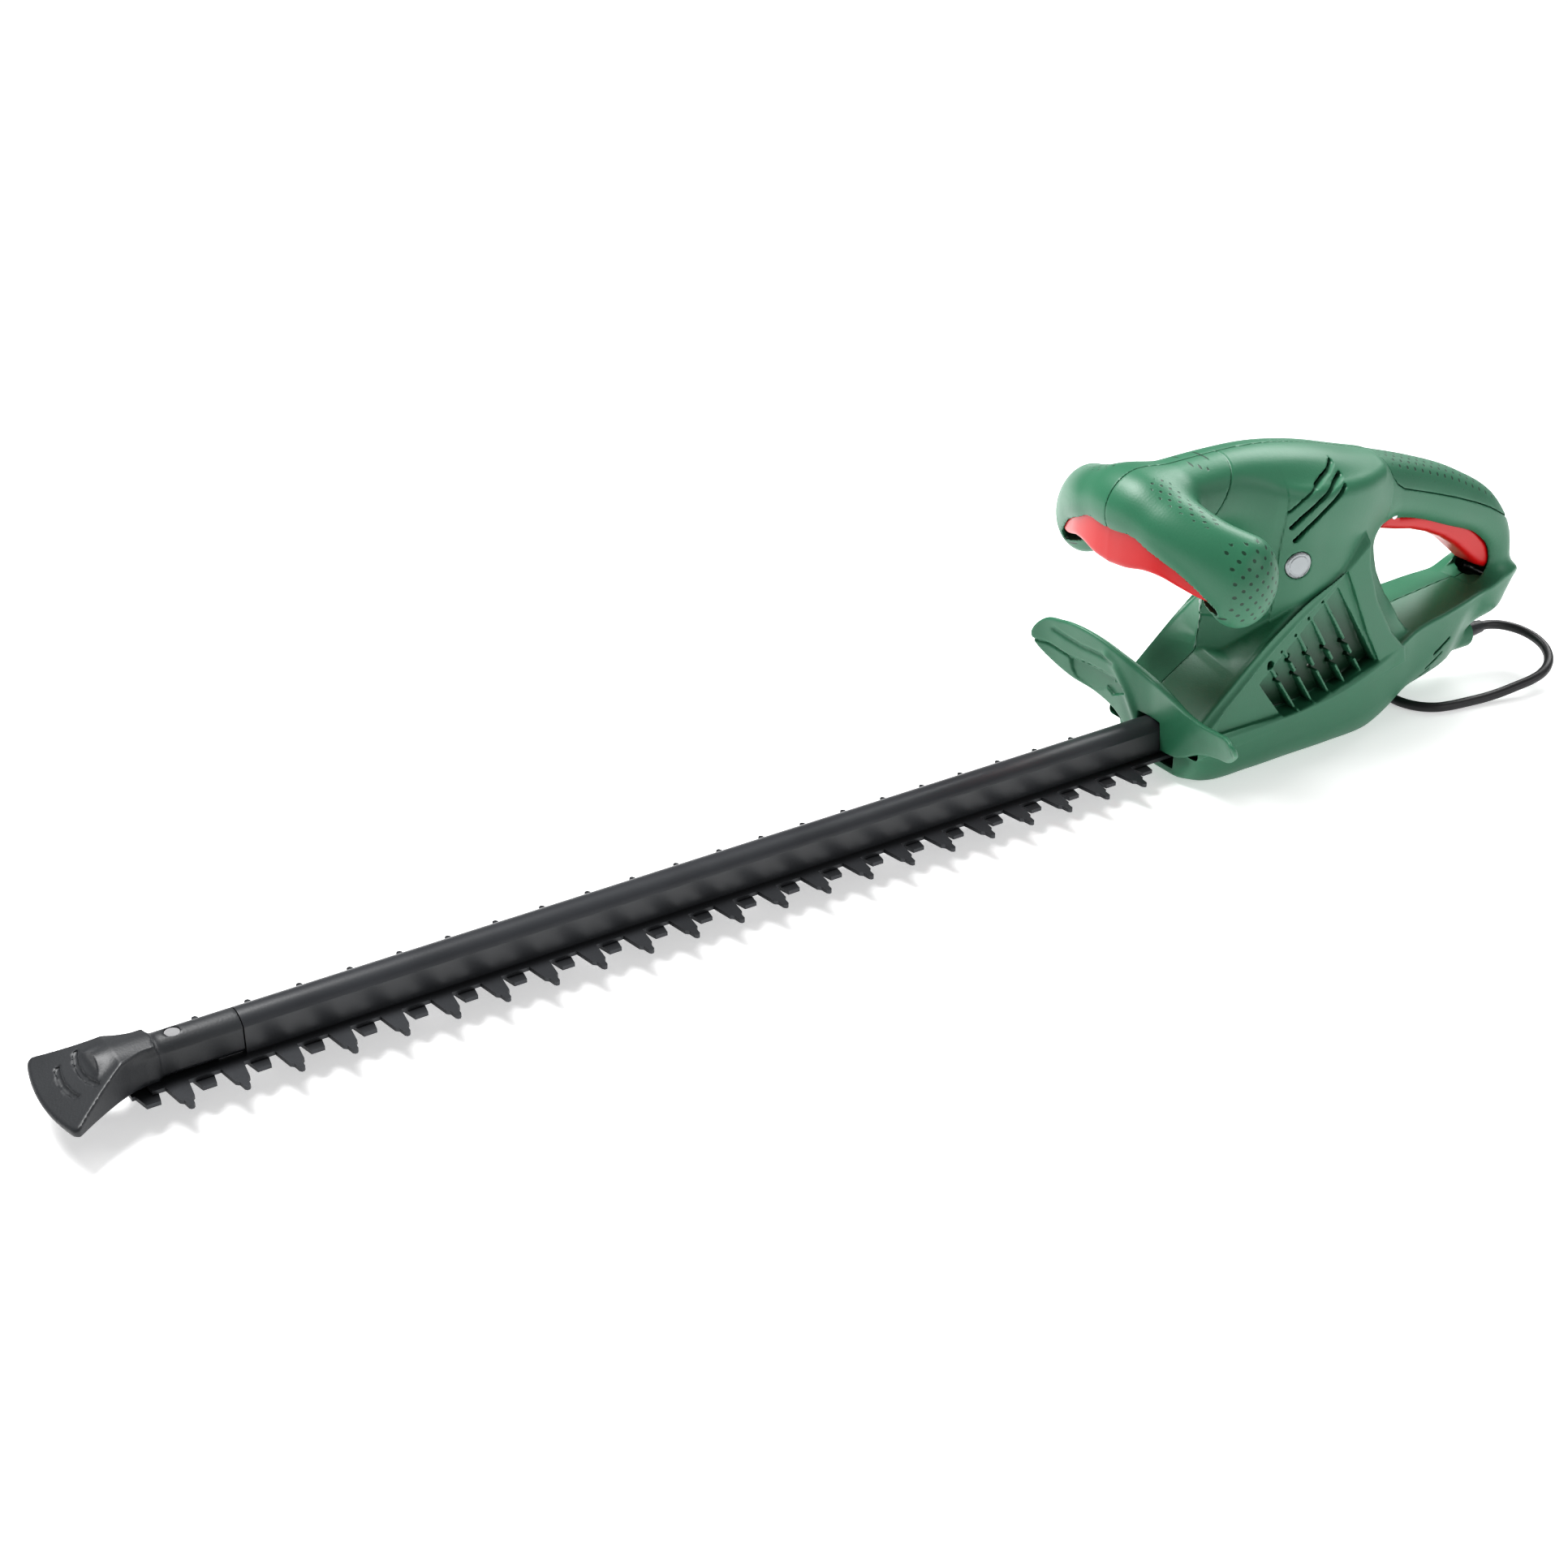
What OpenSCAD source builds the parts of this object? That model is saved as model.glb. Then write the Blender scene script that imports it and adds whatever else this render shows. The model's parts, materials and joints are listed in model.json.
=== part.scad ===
// Corded hedge trimmer: a moulded two-shell body with a bow handle in front and a D handle behind,
// a motor standing in the column, a gear and crank below it, and a double-sided reciprocating blade.
// Origin: centre of the flat base. -X along the blade, +Y the right-hand side, +Z up.

/* [Blade] */
// Distance from one guard tooth to the next
tooth_pitch = 25; // [24:1:26]
// Guard teeth on each side
tooth_count = 22; // [18:1:22]
// Tip of a guard tooth from the middle line
guard_reach = 32; // [30:0.5:34]
// Outer edge of a cutter tooth from the middle line
cutter_reach = 19; // [17:0.5:20]
// Thickness of the guard comb and of the cutter
plate_t = 2; // [1.6:0.1:2.2]
// Stroke of the cutter, end to end
stroke = 25; // [20:1:25]
// Underside of the cutter above the ground
blade_z = 11.9; // [11.5:0.1:12]

/* [Rail] */
// Front end of the rail, where the tip protector starts
rail_front = -596; // [-600:1:-590]
// Half the width of the rail
rail_half = 8.5; // [8:0.5:9]
// Top of the rail above the ground
rail_top = 34; // [33:0.5:35]
// Guide screws along the rail
screw_count = 7; // [5:1:7]

/* [Body] */
// Wall of the moulded shells
wall = 2.6; // [2:0.1:3]
// Half the width of the column
column_half = 33; // [32.5:0.5:34]
// Half the span of the hand guard
guard_half_span = 82; // [78:1:86]
// Gap between the two shells at the middle plane, on each side
seam = 0.05; // [0.02:0.01:0.1]

/* [Drive] */
// Gear module
gear_m = 1.25; // [1.25]
// Teeth of the drive gear
gear_teeth = 40; // [40]
// Teeth of the motor pinion
pinion_teeth = 8; // [8]
// Gear axis along the body
gear_x = -18; // [-19:0.5:-17]
// Radius of the motor shaft
shaft_r = 4; // [4]
// Radial clearance of a running fit
run_gap = 0.04; // [0.02:0.01:0.08]

/* [Controls] */
// Upward travel of the front switch bar
bar_travel = 4; // [3:0.5:4]
// Swing of the rear trigger, degrees
trigger_swing = 6; // [4:1:7]

/* [Cord] */
// Diameter of the power cord
cord_d = 5.6; // [5:0.2:6]
// Sides of the cord's tube
cord_sides = 10; // [8:1:12]

/* [Hidden] */
$fa = 6;
$fs = 0.5;

green = [0.20, 0.44, 0.34];
red = [0.78, 0.05, 0.06];
black = [0.12, 0.13, 0.14];
steel = [0.62, 0.63, 0.65];
copper = [0.72, 0.42, 0.22];

cutter_top = blade_z + plate_t;
comb_z = cutter_top + 0.1;
comb_top = comb_z + plate_t;
first_tooth = -630;
last_tooth = first_tooth + (tooth_count - 1) * tooth_pitch;
bar_top = comb_top + 5;
screw_pitch = 85;
first_screw = -590;
crank_r = stroke / 2;
slot_half = crank_r + 3.5;
motor_x = gear_x + gear_m * (gear_teeth + pinion_teeth) / 2;
trigger_hinge = [78, 0, 120.5];
// Column's surface behind the round badge
badge_y = 27.6;

// Screws that clamp the two shells: [x, z, depth of the head's shoulder from the middle plane]
shell_screws = [[-37, 90, 6.5], [55, 100, 14], [55, 62, 21], [150, 50, 15], [172, 60, 11]];

// Louvres: top and foot of the first fin [x, z], and the step to the next one
fin_top = [-31.5, 54];
fin_top_step = [9.1, 7.35];
fin_foot = [-14.5, 33];
fin_foot_step = [11.8, 2.3];

// Heights of the drive, from the bottom up
gear_z = 18;
gear_t = 8;
plate_z = 30;
bearing_z = 34;
fan_z = 46;
core_z = 64;
core_h = 36;
comm_z = 110;
bridge_z = 126;
top_bearing_z = 130;

// Lower hull, from the guard to the tail: [x, z floor, half floor, z bilge, half bilge,
// z ledge, half ledge, z roof, half roof]
hull_stations = [
    [-70, 5, 20, 12, 29, 30, 33, 54, 4],
    [-52, 0, 26, 7, 33, 32, 35, 66, 8],
    [0, 0, 27, 8, 34, 36, 36, 62, 26],
    [62, 0, 25, 9, 32, 45, 35, 56, 28],
    [78, 4, 22, 13, 30, 48, 34, 55, 28],
    [92, 9, 18, 18, 27, 50, 32, 53, 29],
    [122, 11, 12, 26, 23, 57, 30, 56, 28],
    [144, 14, 9, 36, 16, 60, 27.5, 59, 26],
    [156, 22, 7, 41, 14, 61.5, 25, 61, 23],
    [174, 42, 8, 51, 13.5, 64, 18, 65, 15]];

// Column: [z, nose x, nose radius, middle x, middle radius scale, back x, back radius]
column_stations = [
    [48, -50, 6, 10, 1, 58, 22],
    [100, -38, 10, 10, 1, 48, 19],
    [136, -36, 12, 10, 0.85, 44, 18],
    [164, -34, 12, 10, 0.5, 36, 10]];

// Arch from the front stem over the column and down the D handle: [x, z, rx, ry, rz]
arch_stations = [
    [-50, 160, 12, 20, 20],
    [13, 148, 24, 25, 22.8],
    [60, 137, 20, 20, 21],
    [92, 130, 16, 17, 18],
    [129, 116, 15, 17, 17],
    [156, 102.5, 13.5, 16.5, 16],
    [170, 87.5, 12, 16, 14],
    [172, 62, 12, 17, 13],
    [168, 46, 13, 19, 13]];

// Bow handle, right half: [x, y, z, rx, ry, rz]
bow_stations = [
    [-97, 0, 164, 20, 12, 19],
    [-95, 28, 162, 19, 12, 20],
    [-87, 46, 150, 18, 13, 22],
    [-76.5, 59, 137, 19, 16, 29]];

// Front switch bar, right half: [y, x front, x back, z low, z high]
bar_stations = [
    [0, -114, -92, 136.5, 157],
    [24, -111.5, -91, 137.5, 155.5],
    [42, -104.5, -88, 132, 147],
    [60, -94, -84, 126.5, 129]];

// Cord: out of the strain relief, round in a loop, along the ground and under the tail to the plug
cord_route = [
    [166, 0, 24], [172, 0, 24], [178.5, 0, 24], [184.8, -0.9, 23.7], [190.6, -3.4, 23.1],
    [195.5, -7.5, 22.2], [199.1, -12.7, 21.1], [201.1, -18.7, 19.8], [201.4, -25, 18.4],
    [200, -31.2, 16.8], [196.9, -36.7, 15.2], [192.5, -41.2, 13.5], [187, -44.4, 11.9],
    [180.8, -45.9, 10.2], [174.5, -45.7, 8.6], [164, -43.8, 6.3], [153, -41.9, 4.3],
    [142, -39.9, 3.1], [131, -38, 2.8], [117.4, -35.6, 2.8], [111.2, -33.5, 2.8],
    [105.8, -29.8, 2.8], [101.7, -24.8, 2.8], [99.2, -18.8, 2.8], [98.4, -12.3, 2.8],
    [99.5, -5.9, 2.8], [104, 4.2, 2.8], [108.5, 18, 3.6], [112.9, 36, 6.5], [114, 43.1, 7.9],
    [112.9, 50.2, 9.3], [109.6, 56.6, 10.6], [104.5, 61.6, 11.7], [98.1, 64.9, 12.5], [91, 66, 13],
    [86, 66, 13], [82, 66, 13]];
plug_face = cord_route[len(cord_route) - 1];

// ---------- shared shapes ----------

// Ellipsoid used only inside hulls
module pod(c, r) translate(c) scale(r) sphere(1, $fn = 20);

// Cross-section of the lower hull at one station, moved in by g on every side
module hull_slab(s, g) {
    pts = [[s[2] - g * 0.6, s[1] + g], [s[4] - g, s[3] + g * 0.3], [s[6] - g, s[5]],
        [s[8] - g * 0.4, s[7] - g]];
    translate([s[0], 0, 0]) rotate([90, 0, 90]) linear_extrude(0.2)
        polygon(concat(pts, [for (i = [3:-1:0]) [-pts[i][0], pts[i][1]]]));
}

module lower_hull(g) {
    last = len(hull_stations) - 1;
    for (i = [0:last - 1]) hull() {
        translate([i == 0 ? g : 0, 0, 0]) hull_slab(hull_stations[i], g);
        translate([i == last - 1 ? -g : 0, 0, 0]) hull_slab(hull_stations[i + 1], g);
    }
}

module column_slab(s, g) {
    translate([0, 0, s[0]]) linear_extrude(0.2) hull() {
        translate([s[1], 0]) circle(s[2] - g / 2, $fn = 24);
        translate([s[3], 0]) circle(column_half * s[4] - g, $fn = 40);
        translate([s[5], 0]) circle(s[6] - g / 2, $fn = 32);
    }
}

module column(g) {
    for (i = [0:2]) hull() {
        column_slab(column_stations[i], g);
        column_slab(column_stations[i + 1], g);
    }
}

module arch(g) {
    for (i = [0:len(arch_stations) - 2]) hull() for (k = [0, 1]) {
        s = arch_stations[i + k];
        pod([s[0], 0, s[1]], [s[2] - g, s[3] - g, s[4] - g]);
    }
}

module body_form(g) {
    lower_hull(g);
    column(g);
    arch(g);
    // Boss round the strain relief
    translate([138, 0, 24]) rotate([0, 90, 0]) cylinder(r = 9 - g, h = 24 - (g > 0 ? wall : 0), $fn = 32);
}

module bow(g) {
    for (side = [-1, 1], i = [0:len(bow_stations) - 2]) hull() for (k = [0, 1]) {
        s = bow_stations[i + k];
        pod([s[0], side * s[1], s[2]], [s[3] - g, s[4] - g, s[5] - g]);
    }
    hull() {
        pod([-95, 0, 164], [18 - g, 20 - g, 18 - g]);
        pod([-50, 0, 160], [12 - g, 20 - g, 20 - g]);
    }
}

// Space swept by the front switch bar, with clearance c
module bar_form(c, rise) {
    last = len(bar_stations) - 1;
    for (side = [-1, 1], i = [0:last - 1]) hull() for (k = [0, 1]) {
        s = bar_stations[i + k];
        y = side * (s[0] + (i + k == last ? c : 0));
        translate([s[1] - c, y - 0.1, s[3] - c])
            cube([s[2] - s[1] + 2 * c, 0.2, s[4] - s[3] + 2 * c + rise]);
    }
}

// Points of one gear tooth, with involute flanks, centred on angle a
function involute_angle(r, rb) = r <= rb ? 0 : sqrt(r * r / rb / rb - 1) * 180 / PI - acos(rb / r);
function tooth_points(z, a, shift, slack) =
    let (rp = gear_m * z / 2, rb = rp * cos(20), ro = rp + gear_m * (0.75 + shift),
        rr = rp - gear_m * (1.25 - shift),
        half = (90 + 2 * shift * tan(20) * 180 / PI) / z - slack / rp * 90 / PI + involute_angle(rp, rb),
        start = max(rr + 0.15, rb),
        rs = [rr, start, (start + rp) / 2, rp, (rp + ro) / 2, ro])
    concat([for (i = [0:5]) rs[i] * [cos(a - half + involute_angle(rs[i], rb)),
            sin(a - half + involute_angle(rs[i], rb))]],
        [for (i = [5:-1:0]) rs[i] * [cos(a + half - involute_angle(rs[i], rb)),
            sin(a + half - involute_angle(rs[i], rb))]]);
module spur(z, first, shift, slack) {
    polygon([for (i = [0:z - 1]) each tooth_points(z, first + i * 360 / z, shift, slack)]);
}

// Helical compression spring as one swept tube
function coil_point(r, pitch, a) = [r * cos(a), r * sin(a), pitch * a / 360];
module coil(r, wire, turns, height) {
    pitch = (height - wire) / turns;
    steps = turns * 12;
    sides = 6;
    rings = [for (i = [0:steps]) let (a = i * 30, c = coil_point(r, pitch, a))
        [for (k = [0:sides - 1]) let (b = k * 360 / sides)
            c + [-wire / 2 * cos(b) * cos(a), -wire / 2 * cos(b) * sin(a), wire / 2 * (1 + sin(b))]]];
    tube(rings, sides);
}

// Closed tube through rings of points
module tube(rings, sides) {
    n = len(rings);
    polyhedron([for (ring = rings) each ring],
        concat([[for (k = [0:sides - 1]) k]],
            [for (i = [0:n - 2], k = [0:sides - 1]) let (a = i * sides + k, b = i * sides + (k + 1) % sides)
                each [[a, a + sides, b], [b, a + sides, b + sides]]],
            [[for (k = [sides - 1:-1:0]) (n - 1) * sides + k]]));
}

function unit(v) = v / norm(v);
function route_dir(p, i) = unit(p[min(i + 1, len(p) - 1)] - p[max(i - 1, 0)]);
// Ring square to the route, its own axes kept level
function route_ring(p, i, r, n) =
    let (d = route_dir(p, i), side = unit(cross([0, 0, 1], d)), up = cross(d, side))
    [for (k = [0:n - 1]) p[i] + r * cos(k * 360 / n) * side + r * sin(k * 360 / n) * up];

// ---------- housing ----------

// Louvre slots of one side: the gaps between seven slanted fins
module louvres(side) for (i = [0:5])
    translate([0, side * 29 + 10 + side * 10, 0]) rotate([90, 0, 0]) linear_extrude(20)
        polygon([fin_top + i * fin_top_step + [1.6, 0], fin_top + (i + 1) * fin_top_step - [0.2, 1.4],
            fin_foot + (i + 1) * fin_foot_step - [0.2, 0], fin_foot + i * fin_foot_step + [1.6, 0]]);

module top_slots(side) {
    for (i = [0:2]) translate([-2 + i * 10, side * 26, 146 - i * 3]) rotate([0, 40, 0])
        cube([2.6, 16, 26], center = true);
}

module tail_slots(side) {
    for (i = [0:2]) translate([130 - i * 5, side * 26, 33 - i * 8]) rotate([0, 60, 0])
        cube([2, 24, 12], center = true);
}

// Inner ribs that hold the motor and the gearbox, each cut round what it holds
module rib_frames() {
    module rib(z, h) {
        difference() {
            intersection() {
                body_form(wall - 0.2);
                translate([-45, -50, z]) cube([105, 100, h]);
            }
            children();
        }
    }
    rib(core_z + 4, 3) translate([motor_x, 0, 0]) linear_extrude(200) stator_outline(0.1);
    rib(core_z + core_h - 8, 3) translate([motor_x, 0, 0]) linear_extrude(200) stator_outline(0.1);
    rib(bearing_z, 3) {
        translate([motor_x, 0, 0]) cylinder(r = 24, h = 200);
        translate([gear_x, 0, 0]) cylinder(r = 8.5, h = 200);
    }
    rib(bridge_z - 3, 3) translate([motor_x, 0, 0]) {
        cylinder(r = 22, h = 200);
        translate([-32, -7, 0]) cube([64, 14, 200]);
    }
}

// Lugs of the base cover, cheeks of the trigger's hinge, cradle of its switch and screw bosses
module bosses(side) {
    for (x = [-42, 58]) translate([x - 5, side * 26 - 14, 3.1]) cube([10, 28, 5.2]);
    translate(trigger_hinge) rotate([90, 0, 0]) difference() {
        cylinder(r = 5, h = 40, center = true);
        cylinder(r = 8, h = 23.2, center = true);
    }
    translate([136, 0, 119.2]) cylinder(r = 4.4, h = 20);
    difference() {
        for (x = [98, 111]) translate([x, -30, 116]) cube([2, 60, 40]);
        translate([97, -8, 100]) cube([18, 16, 31.4]);
    }
    for (s = shell_screws) translate([s[0], 0, s[1]]) rotate([90, 0, 0])
        cylinder(r = 4.2, h = 60, center = true);
}

// Way of one shell screw: its shank, and the counterbore of its head in the right-hand shell
module screw_way(s) translate([s[0], 0, s[1]]) rotate([-90, 0, 0]) {
    translate([0, 0, -12.5]) cylinder(r = 1.8, h = s[2] + 13);
    translate([0, 0, s[2]]) cylinder(r = 3.3, h = 30);
}

module housing_screws() color(steel) for (s = shell_screws)
    translate([s[0], 0, s[1]]) rotate([-90, 0, 0]) {
        translate([0, 0, -12]) cylinder(r = 1.6, h = s[2] + 12);
        translate([0, 0, s[2]]) cylinder(r = 3, h = 2.2);
    }

module housing_half(side) {
    intersection() {
        translate([-200, side > 0 ? seam : -100 - seam, -10]) cube([500, 100, 250]);
        difference() {
            union() {
                difference() {
                    body_form(0);
                    body_form(wall);
                }
                rib_frames();
                intersection() {
                    body_form(wall - 0.2);
                    bosses(side);
                }
            }
            // Bow handle's seat, at the front of the arch
            translate([-90, -40, 130]) cube([40, 80, 60]);
            // Mouth for the rail and the blade
            translate([-90, -rail_half - 4, comb_z - 0.2])
                cube([24, 2 * rail_half + 8, rail_top - comb_z + 0.8]);
            translate([-90, -15.5, 8]) cube([40, 31, 10]);
            // Opening for the base cover
            translate([-49, -24, -1]) cube([114, 48, 4.1]);
            difference() {
                trigger_space();
                // Seat of the trigger's spring
                translate([136, 0, 119.2]) cylinder(r = 4.4, h = 20);
            }
            translate(trigger_hinge) rotate([90, 0, 0]) cylinder(r = 2, h = 29, center = true);
            cover_spots() translate([0, 0, 3]) cylinder(r = 1.9, h = 5.2);
            for (s = shell_screws) screw_way(s);
            translate([100, 0, 24]) rotate([0, 90, 0]) cylinder(r = 5.3, h = 80);
            louvres(side);
            top_slots(side);
            tail_slots(side);
            grip_panel(0.3);
            badge_disc(0.2);
            translate([-64, -30, 24]) cube([16, 60, 5]);
        }
    }
}

// Slot in the grip's underside that lets the trigger rise
module trigger_space() translate([0, 11.6, 0]) rotate([90, 0, 0]) linear_extrude(23.2)
    polygon([[72, 100], [150, 60], [171, 66], [171, 92], [140, 118], [100, 127], [70, 127]]);

module housing_left() color(green) housing_half(-1);
module housing_right() color(green) housing_half(1);

module handle_half(side) {
    intersection() {
        translate([-150, side > 0 ? seam : -100 - seam, 90]) cube([100, 100, 110]);
        difference() {
            bow(0);
            difference() {
                bow(wall);
                // Floor above the switch bar, with seats for its springs
                translate([-130, -70, 161.5]) cube([70, 140, 2.4]);
            }
            bar_form(0.4, bar_travel + 0.6);
            translate([-97, 0, 150]) cylinder(r = 2.4, h = 20);
        }
    }
}
module front_handle_left() color(green) handle_half(-1);
module front_handle_right() color(green) handle_half(1);

// Thin leaf of the hand guard at station y: a leaning plate. The right-hand wing stands higher
module guard_slab(y, x, z0, z1, lean) {
    hull() for (z = [z0, z1])
        translate([x - lean * (z - z0) / (z1 - z0 + 0.01), y, z]) rotate([90, 0, 0])
            cylinder(r = 1.6, h = 0.4, center = true, $fn = 12);
}

module hand_guard() color(green) {
    difference() {
        for (side = [-1, 1]) {
            rise = side + 1;
            hull() {
                guard_slab(0, -73.2, 18.6, 53.4, 0);
                guard_slab(side * 22, -73.2, 14, 54.5 + 3.5 * rise, 3);
            }
            hull() {
                guard_slab(side * 22, -73.2, 14, 54.5 + 3.5 * rise, 3);
                guard_slab(side * 45, -74, 28, 54.5 + 7.5 * rise, 11);
            }
            hull() {
                guard_slab(side * 45, -74, 28, 54.5 + 7.5 * rise, 11);
                guard_slab(side * 66, -80, 36, 55 + 7 * rise, 10);
            }
            hull() {
                guard_slab(side * 66, -80, 36, 55 + 7 * rise, 10);
                guard_slab(side * (guard_half_span - 1), -92, 47, 54 + 3 * rise, 1);
            }
        }
        translate([-90, -rail_half - 0.2, 10]) cube([40, 2 * rail_half + 0.4, rail_top - 9.8]);
        translate([-110, -22, 5]) cube([60, 44, 12.5]);
    }
}

module base_cover() color(black) difference() {
    translate([-48.8, -23.8, 0]) cube([113.6, 47.6, 3]);
    cover_spots() {
        translate([0, 0, -1]) cylinder(r = 1.9, h = 5);
        translate([0, 0, -1]) cylinder(r = 3.4, h = 2.6);
    }
}

module cover_spots() for (x = [-42, 58], y = [-18, 18]) translate([x, y, 0]) children();

module cover_screws() color(steel) cover_spots() difference() {
    union() {
        translate([0, 0, 0.3]) cylinder(r = 3.2, h = 1.3);
        translate([0, 0, 1.6]) cylinder(r = 1.7, h = 6.4);
    }
    for (a = [0, 90]) rotate(a) cube([3.6, 0.8, 2], center = true);
}

// Soft panel over the top of the D handle
module grip_panel(c) {
    difference() {
        intersection() {
            arch(-c * 0.2);
            translate([0, 30, 0]) rotate([90, 0, 0]) linear_extrude(60)
                polygon([[74 - c, 128 - c], [90, 126 - c], [126, 116 - c], [158, 98 - c],
                    [170 + c, 86 - c], [196, 92], [196, 170], [80 - c, 170]]);
        }
        arch(1.6);
    }
}
module rear_grip_inlay() color([0.17, 0.38, 0.30]) grip_panel(0);

module badge_disc(c) translate([-8, 0, 117]) rotate([90, 0, 0]) difference() {
    cylinder(r = 6.3 + c, h = 60);
    translate([0, 0, -1]) cylinder(r = 10, h = badge_y + 1);
}
module column_badge() color(steel) intersection() {
    badge_disc(0);
    translate([-20, -badge_y - 1.6, 100]) cube([30, 20, 30]);
}

// ---------- rail and blade ----------

module rail_profile(t) intersection() {
    translate([-rail_half + t, comb_top]) square([2 * (rail_half - t), rail_top - comb_top - t]);
    translate([0, rail_top - 10]) union() {
        circle(10 - t);
        translate([-rail_half, -20]) square([2 * rail_half, 22]);
    }
}

module rail_cover() color(black) translate([rail_front, 0, 0]) rotate([90, 0, 90])
    linear_extrude(-66 - rail_front) difference() {
        rail_profile(0);
        intersection() {
            rail_profile(1.7);
            translate([-20, comb_top - 1]) square([40, 40]);
        }
        translate([-rail_half + 1.7, comb_top - 1]) square([2 * (rail_half - 1.7), 4]);
    }

module screw_row() for (i = [0:screw_count - 1])
    translate([first_screw + i * screw_pitch, 0, 0]) children();

module support_bar() color(steel) difference() {
    translate([-608, -6, comb_top]) cube([558, 12, 5]);
    screw_row() translate([0, 0, comb_top - 1]) cylinder(r = 2.1, h = 8);
}

module mount_block() color(steel) difference() {
    translate([-65.6, -12, comb_top]) cube([18, 24, plate_z - comb_top]);
    translate([-70, -6.05, comb_top - 1]) cube([30, 12.1, 6.05]);
    for (y = [-9, 9]) translate([-57, y, comb_top - 1]) cylinder(r = 1.65, h = 20);
}

// Right-hand edge of one guard tooth about x = 0, from its root to its rounded tip and back
guard_tooth = [[-5.2, 13.6], [-3.4, guard_reach - 6.5], [-1.9, guard_reach - 5],
    [-1.4, guard_reach - 1], [-0.6, guard_reach], [0.6, guard_reach], [1.4, guard_reach - 1],
    [1.9, guard_reach - 5], [3.4, guard_reach - 6.5], [5.2, 13.6]];
cutter_tooth = [[-5, 10], [-3.2, cutter_reach], [3.2, cutter_reach], [5, 10]];

// Bar with the same tooth repeated along both edges: teeth at x = first + i * pitch
module toothed_bar(tooth, first, count, front, back) {
    edge = [for (i = [0:count - 1], p = tooth) [first + i * tooth_pitch + p[0], p[1]]];
    root = tooth[0][1];
    n = len(edge);
    polygon(concat([[front, root]], edge, [[back, root], [back, -root]],
        [for (i = [n - 1:-1:0]) [edge[i][0], -edge[i][1]]], [[front, -root]]));
}

module guard_comb() color(black) translate([0, 0, comb_z]) linear_extrude(plate_t) difference() {
    toothed_bar(guard_tooth, first_tooth, tooth_count, -641, -47);
    screw_row() circle(2.1);
    for (y = [-9, 9]) translate([-57, y]) circle(1.65);
}

module cutter_blade() color(black) translate([0, 0, blade_z]) linear_extrude(plate_t) difference() {
    toothed_bar(cutter_tooth, first_tooth - tooth_pitch / 2, tooth_count + 1, -649, -48);
    screw_row() {
        translate([-slot_half + 3.3, -3.3]) square([2 * slot_half - 6.6, 6.6]);
        for (e = [-1, 1]) translate([e * (slot_half - 3.3), 0]) circle(3.3);
    }
    for (y = [-7, 7], x = [-56, -51.5]) translate([x, y]) circle(1.5);
    // Clears the two screws that hold the comb to the mount block
    translate([-57 - crank_r - 3, -3.2]) square([2 * crank_r + 6, 6.4]);
}

module drive_yoke() color(steel) translate([0, 0, blade_z - 2.5]) linear_extrude(2.5) difference() {
    union() {
        translate([-59, -10]) square([24, 20]);
        translate([gear_x - 17, -22]) square([27, 44]);
    }
    translate([gear_x - 4.4, -crank_r - 0.6]) square([8.8, 2 * crank_r + 1.2]);
    for (e = [-1, 1]) translate([gear_x, e * (crank_r + 0.6)]) circle(4.4);
    for (y = [-7, 7], x = [-56, -51.5]) translate([x, y]) circle(1.5);
}

module yoke_rivets() color(steel) for (y = [-7, 7], x = [-56, -51.5])
    translate([x, y, blade_z - 2.5]) cylinder(r = 1.5, h = plate_t + 2.5);

module guide_screws() color(steel) screw_row() {
    difference() {
        translate([0, 0, blade_z - 3.3]) cylinder(r = 5.2, h = 2.4);
        translate([0, 0, blade_z - 4]) cylinder(r = 2.4, h = 2, $fn = 6);
    }
    translate([0, 0, blade_z - 0.9]) cylinder(r = 3, h = comb_z - blade_z + 0.9);
    translate([0, 0, comb_z]) cylinder(r = 2, h = 10.6);
}

module guide_washers() color(steel) screw_row() translate([0, 0, blade_z - 0.9]) difference() {
    cylinder(r = 6.6, h = 0.6);
    translate([0, 0, -1]) cylinder(r = 3, h = 3);
}

module lock_nuts() color(steel) screw_row() translate([0, 0, bar_top]) difference() {
    cylinder(r = 4, h = 3.2, $fn = 6);
    translate([0, 0, -1]) cylinder(r = 2, h = 6);
}

module tip_protector() color(black) {
    difference() {
        union() {
            // Socket over the end of the support bar, with the rail's own section
            translate([-650, 0, 0]) rotate([90, 0, 90]) linear_extrude(rail_front + 650) rail_profile(0);
            hull() {
                translate([-651, 0, 0]) rotate([90, 0, 90]) linear_extrude(1) rail_profile(0.2);
                for (side = [-1, 1]) translate([-674, side * 27, 18]) cylinder(r = 4, h = 3, $fn = 20);
                translate([-674, -9, 18]) cylinder(r = 10.5, h = 4, $fn = 32);
                translate([-674, 9, 18]) cylinder(r = 10.5, h = 4, $fn = 32);
            }
        }
        translate([-608.4, -6.2, comb_top - 1]) cube([30, 12.4, 7.2]);
        translate([-609, -5, comb_top - 1]) cube([30, 10, 12]);
        translate([-625, 0, 20]) cylinder(r = 2, h = 20);
        translate([-625, 0, rail_top - 3]) cylinder(r = 3.6, h = 6);
    }
}

module tip_screw() color(steel) translate([-625, 0, 0]) {
    translate([0, 0, 22]) cylinder(r = 1.9, h = rail_top - 25);
    translate([0, 0, rail_top - 3]) cylinder(r = 3.4, h = 2);
}

// ---------- gearbox ----------

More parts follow.
